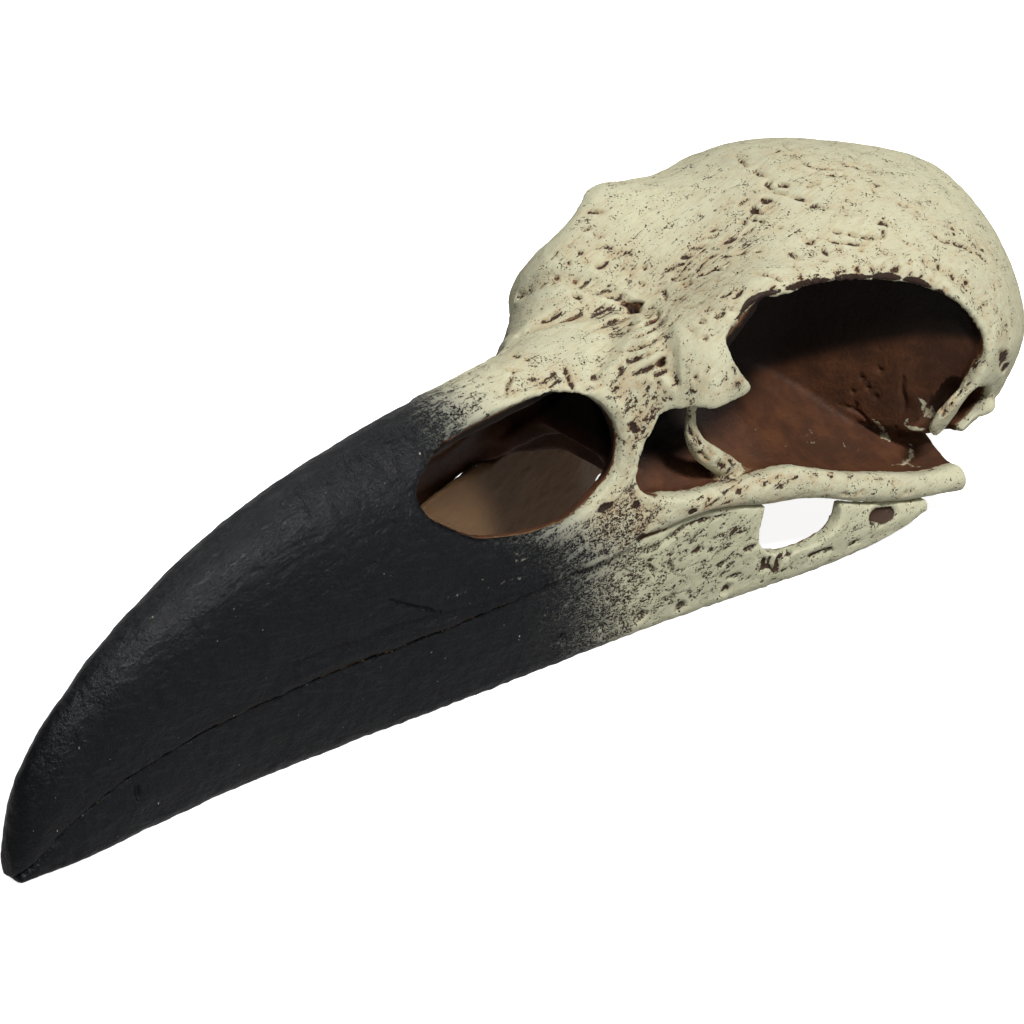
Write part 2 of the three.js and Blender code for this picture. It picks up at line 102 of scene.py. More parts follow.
# %% The outside as cross sections
SECTIONS = [
    # at, crown, brow, side, edge, under
    (-1.7, 3.6, 0.6, 3.1, 0.9, 1.9, 0.6, 0.6, 0.5),
    (0, 9.3, 1.1, 7.9, 1.8, 4.4, 1.5, 1.7, 1.5),
    (3, 13.3, 1.5, 11.7, 2.4, 7.8, 2.2, 4.1, 3.9),
    (6, 15.7, 1.7, 14.1, 2.7, 10.0, 2.6, 5.7, 5.5),
    (10, 18.3, 2.1, 16.8, 3.3, 12.2, 3.2, 7.1, 6.9),
    (16, 21.2, 2.6, 19.4, 4.0, 14.2, 3.9, 8.3, 8.1),
    (22, 23.4, 3.0, 21.6, 4.7, 15.6, 4.6, 8.9, 8.7),
    (30, 25.3, 3.4, 23.4, 5.7, 16.4, 5.6, 9.2, 9.0),
    (38, 26.3, 3.7, 24.3, 6.7, 17.0, 6.7, 9.1, 8.9),
    (46, 26.7, 4.0, 24.7, 7.3, 17.4, 8.1, 9.3, 9.1),
    (54, 26.7, 4.3, 24.7, 7.9, 18.0, 9.7, 10.1, 9.9),
    (60, 26.7, 4.8, 24.6, 8.0, 18.8, 10.7, 10.4, 10.2),
    (65, 26.6, 6.8, 25.6, 9.8, 21.4, 11.2, 12.0, 11.0),
    (69, 26.6, 8.8, 28.0, 12.7, 24.6, 12.2, 14.0, 12.0),
    (73, 26.9, 9.8, 29.9, 12.3, 26.8, 12.3, 15.0, 12.5),
    (78, 29.0, 11.2, 31.5, 13.1, 28.4, 12.8, 15.5, 12.5),
    (82, 30.2, 11.1, 30.6, 13.9, 25.8, 13.3, 15.5, 12.5),
    (86, 31.3, 11.3, 29.7, 15.0, 23.6, 13.8, 14.0, 12.0),
    (90, 32.2, 12.0, 29.3, 16.4, 21.5, 14.5, 12.0, 10.0),
    (94, 32.4, 12.5, 28.9, 17.6, 20.0, 15.2, 10.0, 8.0),
    (98, 31.6, 12.6, 27.8, 18.2, 19.0, 15.5, 8.5, 6.3),
    (102, 30.1, 12.2, 26.3, 17.6, 18.0, 14.5, 8.2, 6.0),
    (106, 28.5, 10.9, 24.6, 15.7, 16.6, 13.3, 8.4, 6.4),
    (110, 26.2, 8.7, 22.2, 12.5, 15.0, 10.6, 7.8, 6.4),
    (113, 22.2, 5.5, 19.2, 7.6, 14.0, 6.2, 8.6, 7.6),
    (114.4, 16.5, 1.6, 15.6, 2.2, 13.8, 1.5, 12.4, 12.0),
]
WALL = 1.7  # bone of the bill and the face
PER_SPAN = 12  # points between two control points of a section


def between(table, at):
    """The values of a table between its rows, by a smooth curve through them."""
    rows = np.array(table, float)
    places = rows[:, 0]
    i = int(np.clip(np.searchsorted(places, at, side="right") - 1, 0, len(rows) - 2))
    span = places[i + 1] - places[i]
    t = float(np.clip((at - places[i]) / span, 0, 1))

    def slope(k):
        a, b = max(k - 1, 0), min(k + 1, len(rows) - 1)
        return (rows[b] - rows[a]) / (places[b] - places[a])

    value = ((2 * t**3 - 3 * t**2 + 1) * rows[i] + (t**3 - 2 * t**2 + t) * span * slope(i)
             + (3 * t**2 - 2 * t**3) * rows[i + 1] + (t**3 - t**2) * span * slope(i + 1))
    return value[1:]


def smooth_line(points, per_span=PER_SPAN, closed=False):
    """A smooth line through a few points, slowing down where they are close together."""
    points = np.array(points, float)
    count = len(points)
    if closed:
        padded = np.vstack([points[-1], points, points[:2]])
    else:
        padded = np.vstack([2 * points[0] - points[1], points, 2 * points[-1] - points[-2]])
    line = []
    for i in range(count if closed else count - 1):
        p0, p1, p2, p3 = padded[i:i + 4]
        d0, d1, d2 = (math.sqrt(np.linalg.norm(b - a)) + 1e-6
                      for a, b in ((p0, p1), (p1, p2), (p2, p3)))
        t1 = ((p1 - p0) / d0 - (p2 - p0) / (d0 + d1) + (p2 - p1) / d1) * d1
        t2 = ((p2 - p1) / d1 - (p3 - p1) / (d1 + d2) + (p3 - p2) / d2) * d1
        for t in np.arange(per_span) / per_span:
            line.append((2 * t**3 - 3 * t**2 + 1) * p1 + (t**3 - 2 * t**2 + t) * t1
                        + (3 * t**2 - 2 * t**3) * p2 + (t**3 - t**2) * t2)
    return np.array(line if closed else line + [points[-1]])


def arch(at, wall=0.0):
    """The skull's section from the left edge over the crown to the right edge, moved in."""
    crown, *pairs, _under = between(SECTIONS, at)
    half = np.array(pairs).reshape(3, 2)
    left = half[::-1] * (-1, 1)
    line = smooth_line(np.vstack([left, [(0, crown)], half]))
    run = np.gradient(line, axis=0)
    out = np.stack([-run[:, 1], run[:, 0]], axis=1)
    return line - wall * out / np.linalg.norm(out, axis=1)[:, None]


print("section halfway along the bill:", len(arch(30)), "points")

# %% [markdown]
# A sculptor would raise such a form ring by ring. So does this helper: a flat disc is added,
# then extruded again and again, and each new face is pulled to the next section.

# %% Helpers that extrude, cut and join
def deselect_all():
    if bpy.context.object and bpy.context.object.mode != "OBJECT":
        bpy.ops.object.mode_set(mode="OBJECT")
    bpy.ops.object.select_all(action="DESELECT")


def pull_to(piece, ring):
    mesh = bmesh.from_edit_mesh(piece.data)
    disc = next(face for face in mesh.faces if face.select)
    for corner, point in zip(disc.verts, ring):
        corner.co = place(*point)
    bmesh.update_edit_mesh(piece.data, loop_triangles=False, destructive=False)


def loft(name, rings):
    """A closed solid through rings of (at, y, z) points, extruded from one flat disc."""
    deselect_all()
    bpy.ops.mesh.primitive_circle_add(vertices=len(rings[0]), radius=MM, fill_type="NGON")
    piece = bpy.context.object
    piece.name = piece.data.name = name
    bpy.ops.object.mode_set(mode="EDIT")
    pull_to(piece, rings[0])
    for ring in rings[1:]:
        bpy.ops.mesh.extrude_region_move()
        pull_to(piece, ring)
    bpy.ops.mesh.select_all(action="SELECT")
    bpy.ops.mesh.normals_make_consistent(inside=False)
    bpy.ops.object.mode_set(mode="OBJECT")
    return piece


def boolean(piece, other, operation, keep=False):
    """Cuts or joins two closed solids, and removes the second."""
    step = piece.modifiers.new(operation.lower(), "BOOLEAN")
    step.operation = operation
    step.solver = "MANIFOLD"
    step.object = other
    bpy.context.view_layer.objects.active = piece
    bpy.ops.object.modifier_apply(modifier=step.name)
    if not keep:
        bpy.data.objects.remove(other)
    return piece


def cut(piece, other, keep=False):
    return boolean(piece, other, "DIFFERENCE", keep)


def common(piece, other):
    return boolean(piece, other, "INTERSECT")


def copy_of(piece):
    twin = piece.copy()
    twin.data = piece.data.copy()
    bpy.context.scene.collection.objects.link(twin)
    return twin


def apply(piece, kind, **values):
    """Adds a modifier with these values and applies it."""
    deselect_all()
    bpy.context.view_layer.objects.active = piece
    step = piece.modifiers.new(kind.lower(), kind)
    for key, value in values.items():
        setattr(step, key, value)
    bpy.ops.object.modifier_apply(modifier=step.name)
    return piece


def grow_together(piece, voxel, smoothing):
    apply(piece, "REMESH", mode="VOXEL", voxel_size=voxel * MM)
    return apply(piece, "SMOOTH", factor=0.5, iterations=smoothing)


# %% [markdown]
# The outside of braincase, face and upper bill is one bone. Its rings stand closer at both
# ends, where the form closes fast.

# %% Outside of the skull
BACK = 114.4
DOME_FROM = 103
UNDER_POINTS = 14  # points across the underside
BILL_STEPS = 26
LONG_STEPS = 100
DOME_STEPS = 18


def whole_section(at):
    """The section as a closed ring: over the top, then back across the underside."""
    line = arch(at)
    under = between(SECTIONS, at)[-1]
    t = np.linspace(0, 1, UNDER_POINTS + 2)[1:-1]
    low = line[-1][1] + (under - line[-1][1]) * (1 - (2 * t - 1) ** 2)
    across = np.stack([line[-1][0] * (1 - 2 * t), low], axis=1)
    return [(at, y, z) for y, z in np.vstack([line, across])]


def outside():
    tip = TIP + (10 - TIP) * np.linspace(0, 1, BILL_STEPS) ** 1.6
    long = np.linspace(10, DOME_FROM, LONG_STEPS)[1:]
    dome = DOME_FROM + (BACK - DOME_FROM) * np.sin(np.linspace(0, math.pi / 2, DOME_STEPS))[1:]
    return loft("skull_bone", [whole_section(at) for at in (*tip, *long, *dome)])


skull = outside()
print("outside:", len(skull.data.polygons), "faces")
shell = copy_of(skull)

# %% [markdown]
# Inside, the bill is hollow behind its tip and each eye socket is a deep bowl. The bowls meet
# at a thin wall in the middle, in front of the braincase. Each hollow is modelled as the solid
# that would fill it, and is then cut out.

# %% Hollows of the bill and the eye sockets
SIDES = (-1, 1)
BILL_HOLLOW = (15, 67)
PARTITION = 1.6  # bone between the bill's hollow and the sockets
SOCKET = (62.6, 101.5)
SOCKET_WALL = [
    # at, distance of the inner wall from the middle line
    (62.6, 9.8), (65, 7.4), (68, 4.2), (72, 2.2), (84, 1.8), (88, 3.2), (92, 7.2), (95, 11.2),
    (98, 15.2), (101.5, 19.0),
]
BELOW = -5
FAR_OUT = 30
RINGS = 60  # rings of a long form
HOLLOW_VOXEL = 0.6
HOLLOW_SMOOTHING = 24  # rounds the corners of the bill's hollow before it is cut


def inside(start, end, wall):
    """The space inside the walls, open below."""
    rings = []
    for at in np.linspace(start, end, RINGS):
        line = arch(at, wall)
        ends = [(line[-1][0], BELOW), (line[0][0], BELOW)]
        rings.append([(at, y, z) for y, z in np.vstack([line, ends])])
    return loft("inside", rings)


def socket_space(side, grow=0.0):
    """All that lies outside the inner wall of one eye socket."""
    low, high = BELOW - 1, 45
    heights = np.linspace(0, 32, 17)
    rings = []
    for at in np.linspace(SOCKET[0] - grow, SOCKET[1], 40):
        wall = between(SOCKET_WALL, at)[0] - grow
        lean = 1.4 * np.clip((heights - 21) / 8, 0, 1) ** 2
        profile = [(wall, low), *zip(wall + lean, heights), (wall + 3, high)]
        ring = [*profile, (FAR_OUT, high), (FAR_OUT, low)]
        rings.append([(at, side * y, z) for y, z in ring])
    return loft("socket_space", rings)


def hollow_out(bone):
    bill = inside(*BILL_HOLLOW, WALL)
    for side in SIDES:
        cut(bill, socket_space(side, PARTITION))
    cut(bone, grow_together(bill, HOLLOW_VOXEL, HOLLOW_SMOOTHING))
    for side in SIDES:
        cut(bone, common(socket_space(side), inside(60, 104, WALL)))
    return bone


hollow_out(skull)
print("hollowed:", len(skull.data.polygons), "faces")

# %% [markdown]
# The openings in the side are the nostril and the eye socket, whose outline runs on forwards
# round the hanging point of the brow. Their outlines are drawn as seen from the side, with
# few points, and pushed through the wall only.

# %% Openings in the side
NOSTRIL = [(41.1, 22.6), (41.6, 20.5), (43.3, 18.8), (46.5, 16.6), (50.8, 15.3), (55, 15.0),
           (58.4, 15.8), (61.2, 17.8), (62.3, 20.6), (61.6, 23.6), (59.3, 24.8), (54, 25.4),
           (49.5, 25.5), (44.4, 24.7)]
SOCKET_RIM = [(76.9, 30.5), (73.8, 29.6), (72.1, 28.0), (72.1, 26.6), (73, 24.6), (74.2, 22.6),
              (73.4, 22.1), (70.6, 22.6), (68, 22.9), (66.2, 22.6), (64.6, 20.4), (63.2, 17.6),
              (63, 15.9), (64.8, 14.3), (69.5, 13.2), (76.7, 12.4), (81.7, 10.8), (88, 8.0),
              (95, 5.4), (98.7, 5.2), (99.0, 8.6), (98.2, 11.0), (97.2, 13.0), (97.6, 14.8),
              (98.6, 16.8), (99.1, 18.8), (98.6, 21.2), (96.5, 24.0), (92.3, 26.7), (84.3, 29.1)]
CHEEK = [(52, -1), (76, -1), (76, 25.5), (52, 25.5)]  # where the face is thin
THROUGH = 0.6  # how much further in the openings are cut than the wall is thick
CHEEK_DEEP = (3, 13)  # how near the middle line and how far out the cheek is cut


def side_window(outline, side, inner, outer):
    line = smooth_line(outline, 6, closed=True)
    return loft("window", [[(at, side * y, z) for at, z in line] for y in (inner, outer)])


def open_sides(bone):
    for side in SIDES:
        within = inside(38, 104, WALL + THROUGH)
        cheek = loft("cheek", [[(at, side * y, z) for at, z in CHEEK] for y in CHEEK_DEEP])
        windows = [side_window(NOSTRIL, side, 2.8, 20),
                   side_window(SOCKET_RIM, side, 10.8, 25),
                   common(side_window(SOCKET_RIM, side, 4, 12), cheek)]
        for window in windows:
            cut(bone, cut(window, within, keep=True))
        bpy.data.objects.remove(within)
    return bone


open_sides(skull)
print("openings cut:", len(skull.data.polygons), "faces")

# %% [markdown]
# The floor of the sockets is a bowed deck with a rounded cheek bar along each edge. The
# lower jaw's upper edge follows the underside of that bar.

# %% Deck and cheek bars
DECK = (60.5, 98.8)
DECK_THICK = 2.1
SHEET_REACH, REACHES_FROM = 2.6, 88  # the deck's middle reaches further back than its bars
SET_BACK, SET_BACK_OVER = 5.0, 12  # and begins further back than they do
BARS = [
    # at, half width of the bar's outer face, its top and its bottom
    (60.5, 9.6, 13.8, 10.9), (63, 10.5, 14.4, 10.7), (65, 11.2, 14.3, 10.7),
    (68, 12.0, 13.6, 11.2), (71.5, 12.6, 13.2, 10.9), (76.5, 13.4, 12.7, 9.4),
    (79.5, 13.8, 12.2, 8.7), (82, 14.2, 11.0, 7.9), (86, 14.8, 9.1, 6.1),
    (90, 15.4, 7.6, 4.6), (94.5, 16.1, 5.9, 3.4), (98.8, 16.6, 5.2, 2.5),
]


def deck_section(at):
    bar, top, bottom = between(BARS, at)
    tall = top - bottom
    half = [(0, top + 7.0), (1.2, top + 6.5), (bar * 0.42, top + 2.8), (bar * 0.66, top + 0.5),
            (bar - 2.4, top - 0.4), (bar - 0.9, top), (bar, top - tall * 0.4),
            (bar - 0.1, bottom + tall * 0.25), (bar - 0.8, bottom), (bar - 2.2, bottom + 0.3),
            (bar * 0.66, top + 0.4 - DECK_THICK), (bar * 0.42, top + 2.2 - DECK_THICK),
            (1.2, top + 3.4 - DECK_THICK), (0, top + 3.6 - DECK_THICK)]
    line = smooth_line(half, 3)
    ring = np.vstack([line, line[-2:0:-1] * (-1, 1)])
    runs_on = SHEET_REACH * np.clip((at - REACHES_FROM) / (DECK[1] - REACHES_FROM), 0, 1)
    begins = SET_BACK * np.clip((DECK[0] + SET_BACK_OVER - at) / SET_BACK_OVER, 0, 1)
    return [(at + runs_on * max(0, 1 - abs(y) / (bar - 1))
             + begins * max(0, 1 - (y / (bar - 1)) ** 2), y, z) for y, z in ring]


deck = loft("deck", [deck_section(at) for at in np.linspace(*DECK, RINGS)])
print("deck:", len(deck.data.polygons), "faces")

# %% [markdown]
# Small bones stand on the face: the hook that hangs from the brow, the striped spur behind
# the eye and the flange behind the ear. Each is a rod of changing width along a bent line.

# %% Rods of bone
HOOK = [(68.6, 10.9, 23.4, 0.7, 0.7), (68.8, 10.4, 21.5, 0.45, 0.5), (68.9, 10.3, 19.7, 0.6, 0.6),
        (69.9, 10.2, 17.4, 0.9, 0.8), (71.9, 10.1, 15.1, 1.1, 0.9), (73.8, 10.2, 13.5, 0.95, 0.8),
        (75.2, 10.3, 12.9, 0.4, 0.4)]
SPUR = [(98.8, 17.5, 16.6, 0.5, 0.5), (97.9, 17.1, 14.9, 0.55, 0.5), (96.8, 16.7, 13.8, 0.8, 0.5),
        (96.0, 16.0, 12.1, 1.4, 0.5), (95.8, 15.3, 10.5, 1.2, 0.5), (95.7, 15.0, 9.6, 0.4, 0.4)]
FLANGE = [(101.4, 15.3, 9.2, 0.25, 0.25), (102.6, 15.2, 9.8, 0.8, 0.7), (104.0, 14.3, 9.6, 0.3, 0.3)]
ROD_SIDES = 20


def rod(name, side, points):
    """A rod along (at, y, z, half width, half thickness) points."""
    line = smooth_line(points, 8)
    centre = line[:, :3] * (1, side, 1)
    along = np.gradient(centre, axis=0)
    along /= np.linalg.norm(along, axis=1)[:, None]
    flat = np.cross((0, 1, 0), along)
    flat /= np.linalg.norm(flat, axis=1)[:, None]
    thick = np.cross(along, flat)
    turn = np.linspace(0, 2 * math.pi, ROD_SIDES, endpoint=False)
    rings = [c + w * np.cos(turn)[:, None] * f + t * np.sin(turn)[:, None] * k
             for c, f, k, w, t in zip(centre, flat, thick, line[:, 3], line[:, 4])]
    return loft(name, rings)


def ball(place_at, radii):
    deselect_all()
    bpy.ops.mesh.primitive_uv_sphere_add(segments=32, ring_count=16, radius=MM)
    piece = bpy.context.object
    piece.data.transform(Matrix.Translation(place(*place_at)) @ Matrix.Diagonal((*radii, 1)))
    return piece


rods = [rod(name, side, points) for side in SIDES
        for name, points in (("hook", HOOK), ("spur", SPUR), ("flange", FLANGE))]
rods.append(ball((110.6, 0, 6.0), (1.5, 1.4, 1.3)))
print("rods:", len(rods))

# %% [markdown]
# All these solids grow together in one voxel remesh, as one bone, and a little smoothing takes
# the steps of the voxels away. The ears and the neck hole are cut before that.

# %% One bone
VOXEL = 0.26
EAR = [(97.8, 14.6), (99.4, 14.2), (100.9, 13.2), (102.2, 11.6), (102.3, 10.4), (101.0, 9.6),
       (99.6, 9.2), (98.0, 8.7), (96.2, 8.9), (96.6, 11.4), (97.3, 13.4)]
EAR_DEEP = 11.6  # how near the middle line the ear reaches
NECK_HOLE = ((113.5, 0, 9.4), (3.4, 3.2, 2.8))


def join(piece, others):
    deselect_all()
    for other in (*others, piece):
        other.select_set(True)
    bpy.context.view_layer.objects.active = piece
    bpy.ops.object.join()
    return piece


join(skull, [deck])
grow_together(skull, VOXEL, 2)
for side in SIDES:
    cut(skull, side_window(EAR, side, EAR_DEEP, 20))
cut(skull, ball(*NECK_HOLE))
join(skull, rods)
grow_together(skull, VOXEL, 6)
print("skull:", len(skull.data.vertices), "points")

# %% [markdown]
# The lower jaw is a bone of its own: a narrow scoop that forks into two branches. Its upper
# edge follows the skull's edge a hair below it, and it rests on its straight lower edge.

# %% Lower jaw
SEAM = [(-2, 0.3), (48, 0.3), (60, 0.2), (96, 0.2)]  # between jaw and skull
JAW = (-1.1, 94.6)
JAW_FORKS = 33
JAW_WALLS = [
    # at, thickness of the wall above and at the foot
    (33, 1.9, 1.9), (60, 1.9, 1.9), (66, 1.65, 1.8), (70, 1.5, 2.4), (74, 1.4, 3.2),
    (76.5, 1.35, 2.4), (78.5, 1.3, 1.5), (95, 1.2, 1.2),
]
TONGUE = (44, 61.2, 1.25)  # from, to, and how high the jaw's inner edge stands up in the bill
JAW_INSET = 0.5  # how far the jaw's side lies inside the skull's
BRANCHES_OPEN = 8  # length over which the branches part
LEAST_ROOM = 0.3  # half the cut where they begin to part
FEET = [
    # at, half width and height of the lower edge
    (-1.1, 0.9, 0), (5, 2.1, 0), (13, 2.7, 0), (22, 3.3, 0), (28, 4.2, 0), (37, 5.6, 0),
    (46, 7.1, 0), (54, 8.3, 0), (60, 9.3, 0), (66, 10.3, 0), (72, 11.5, 0), (78, 12.8, 0),
    (85, 14.1, 0), (89, 14.8, 0.4), (92.5, 15.3, 1.2), (94.6, 15.5, 1.9),
]
JAW_WINDOW = [(75.7, 5.6), (76.0, 7.6), (76.8, 9.6), (80.0, 9.8), (83.4, 8.6), (84.6, 6.2),
              (84.2, 4.4), (82.6, 3.4), (79.4, 3.2), (76.8, 4.0)]
JAW_WIDE = [
    # at, half width of the upper edge
    (-1.1, 0.6), (3, 2.2), (10, 3.2), (22, 4.6), (30, 5.6), (38, 6.7), (46, 8.1), (54, 9.3),
    (60, 10.1), (65, 11.0), (71.5, 12.4), (79.5, 13.8), (86, 14.8), (94.6, 16.1),
]
GAP_LOW, GAP_HIGH = -1, 20  # heights between which the room in the jaw is cut


def bite(at):
    """Half width of the jaw's upper edge and height of the skull's lower edge."""
    edge = between(SECTIONS, at)[6] if at < DECK[0] else between(BARS, at)[2]
    return between(JAW_WIDE, at)[0], edge


def jaw_section(at):
    wide, edge = bite(at)
    foot, low = between(FEET, at)
    top = edge - between(SEAM, at)[0]
    wide = max(wide - JAW_INSET, foot)
    tall = top - low
    start, end, high = TONGUE
    lip = 0
    if start < at < end:
        lip = high * math.sqrt(math.sin(math.pi * (at - start) / (end - start)))
    within = max(between(SECTIONS, at)[5] - WALL - 0.25, wide * 0.4)
    half = [(0, top + lip), (within * 0.95, top + lip), (within, top), (wide - 0.15, top),
            (wide, top - tall * 0.12), ((wide + foot) / 2 + 0.25, low + tall * 0.5),
            (foot + 0.1, low + min(tall * 0.12, 0.9)), (foot - 0.35, low), (0, low)]
    line = np.array(half)
    ring = np.vstack([line, line[-2:0:-1] * (-1, 1)])
    return [(at, y, z) for y, z in ring]


def jaw_gap(at):
    """Half the room between the branches of the jaw, below and above."""
    open_by = min(1, (at - JAW_FORKS + 1) / BRANCHES_OPEN)
    wall, foot_wall = between(JAW_WALLS, at)
    low = max((between(FEET, at)[0] - foot_wall) * open_by, LEAST_ROOM)
    return low, max((bite(at)[0] - JAW_INSET - wall) * open_by, LEAST_ROOM)


def jaw_inside(at):
    low, high = jaw_gap(at)
    return [(at, -high, GAP_HIGH), (at, -low, GAP_LOW), (at, low, GAP_LOW), (at, high, GAP_HIGH)]


def lower_jaw():
    bone = loft("lower_jaw_bone", [jaw_section(at) for at in np.linspace(*JAW, 110)])
    cut(bone, loft("between", [jaw_inside(at) for at in np.linspace(JAW_FORKS, JAW[1] + 2, 50)]))
    for side in SIDES:
        cut(bone, side_window(JAW_WINDOW, side, 5, 20))
    return grow_together(bone, VOXEL, 4)


jaw = lower_jaw()
print("lower jaw:", len(jaw.data.vertices), "points")

# %% [markdown]
# What is carved into the bone is drawn as strokes over the photograph: a few picture points
# each. A ray from the camera through a point finds its place on the bone, so a stroke sits on
# the surface from every side. On the half that the camera can't see, strokes are mirrored.

# %% Strokes drawn through the camera
PICTURE = 1024  # width and height of the picture, in pixels
PIXEL_STEP = 1.5  # pixels between two touches of the brush
HIDDEN_BY = 0.6  # mm that may lie in front of a point that still counts as seen


def tree_of(piece):
    return BVHTree.FromObject(piece, bpy.context.evaluated_depsgraph_get())


def look_through(x, y):
    aim = Vector(((x / PICTURE - 0.5) * SENSOR / LENS, (0.5 - y / PICTURE) * SENSOR / LENS, -1))
    return (camera.rotation_euler.to_matrix() @ aim).normalized()


def seen(tree, x, y):
    """The point and normal that the camera sees at a picture point."""
    point, normal, _face, _away = tree.ray_cast(camera.location, look_through(x, y))
    return point and (point, normal)


def hidden(tree, point):
    """Whether the camera can't see a point."""
    way = point - camera.location
    hit = tree.ray_cast(camera.location, way.normalized())[0]
    return hit is None or (hit - camera.location).length < way.length - HIDDEN_BY * MM


def drawn(tree, pixels, step=PIXEL_STEP):
    """The touches of one stroke, on the bone: place, normal, and size, smaller at the ends."""
    line = smooth_line(pixels, 12) if len(pixels) > 1 else np.array(pixels, float)
    kept = [line[0]]
    for point in line[1:]:
        if np.linalg.norm(point - kept[-1]) >= step:
            kept.append(point)
    sizes = np.sqrt(np.sin(math.pi * (np.arange(len(kept)) + 0.5) / len(kept)))
    touches = [(seen(tree, *point), size) for point, size in zip(kept, np.maximum(sizes, 0.4))]
    return [(*touch, size) for touch, size in touches if touch]


def mirrored(tree, touches, only_hidden=True):
    """The same touches on the other half of the head."""
    twins = []
    for point, _normal, size in touches:
        twin = tree.find_nearest(Vector((point.x, -point.y, point.z)))
        if not only_hidden or hidden(tree, twin[0]):
            twins.append((*twin[:2], size))
    return twins


skull_tree = tree_of(skull)
print("brow seen at", [round(v / MM, 1) for v in seen(skull_tree, 850, 262)[0]], "mm")

# %% [markdown]
# The brush moves the points within its reach along their normals: in for a crack, out for a
# ridge. It is a sculptor's stroke, and needs the fine even mesh of the voxels.

# %% The brush
FACING = 0.25  # a point is touched only if it faces about the same way as the touch


def read(piece, what):
    flat = np.empty(len(piece.data.vertices) * 3)
    piece.data.vertices.foreach_get(what, flat)
    return flat.reshape(-1, 3)


def points_of(piece):
    return read(piece, "co")


def normals_of(piece):
    return read(piece, "normal")


def move_to(piece, points):
    piece.data.vertices.foreach_set("co", points.ravel())
    piece.data.update()


def search_tree(piece):
    tree = KDTree(len(piece.data.vertices))
    for i, point in enumerate(points_of(piece)):
        tree.insert(point, i)
    tree.balance()
    return tree


def reached(tree, facing, touches, reach, beyond=0.0):
    """The points near a stroke, how far each is from it in mm, and the stroke's reach there."""
    near = {}
    for point, normal, size in touches:
        for _place, i, away in tree.find_range(point, (reach * size + beyond) * MM):
            gap = away / MM - reach * size
            if gap < near.get(i, (beyond, 0))[0] and facing[i].dot(normal) > FACING:
                near[i] = (gap, reach * size)
    gaps = np.array(list(near.values())).reshape(-1, 2)
    return np.array(list(near), int), gaps[:, 0] + gaps[:, 1], gaps[:, 1]


def press(piece, strokes):
    """Presses strokes of (touches, reach, depth) into a piece."""
    tree = search_tree(piece)
    normals = normals_of(piece)
    facing = [Vector(normal) for normal in normals]
    points = points_of(piece)
    for touches, reach, depth in strokes:
        places, away, reaches = reached(tree, facing, touches, reach)
        if len(places):
            push = depth * MM * (1 - (away / reaches) ** 2) ** 2
            points[places] -= normals[places] * push[:, None]
    move_to(piece, points)
    return piece


# %% [markdown]
# The big forms come first: the rolled brow over the eye, the valley at the root of the bill,
# the lip round the nostril and the rolled band above the bite. Each is pressed on both sides.

# %% Soft forms of the skull
FORMS = [
    # reach and depth of the brush, then the stroke
    (1.5, -0.22, [(740, 326), (757, 306), (785, 288), (830, 272), (880, 266), (925, 275), (958, 296),
                  (978, 325)]),
    (1.3, 0.22, [(925, 262), (955, 277), (977, 297), (989, 322), (990, 345)]),
    (1.8, 0.45, [(520, 334), (545, 322), (575, 314), (605, 309), (636, 305)]),
    (1.6, 0.5, [(636, 305), (655, 318), (664, 342), (669, 368), (676, 384)]),
    (1.0, -0.15, [(436, 452), (470, 423), (510, 401), (550, 391), (592, 391), (618, 406), (630, 430),
                  (634, 456), (628, 480), (610, 504)]),
    (1.0, -0.10, [(300, 678), (350, 657), (420, 633), (487, 616), (541, 593), (600, 570)]),
    (0.8, 0.2, [(295, 664), (343, 648), (420, 622), (450, 616), (487, 606), (541, 584), (616, 558)]),
    (1.3, 0.4, [(1001, 353), (1004, 362), (1006, 371)]),
    (0.5, 0.3, [(640, 549), (660, 540), (680, 522), (700, 514), (740, 508), (780, 505)]),
]


def both_sides(tree, rows):
    strokes = []
    for reach, depth, pixels in rows:
        touches = drawn(tree, pixels, 3)
        strokes += [(touches, reach, depth), (mirrored(tree, touches, False), reach, depth)]
    return strokes


press(skull, both_sides(skull_tree, FORMS))
print("soft strokes:", len(FORMS) * 2)

# %% [markdown]
# Then the cracks, gashes and pits, as seen in the photograph. The same strokes are used again
# later, to leave the brown paint showing in them.

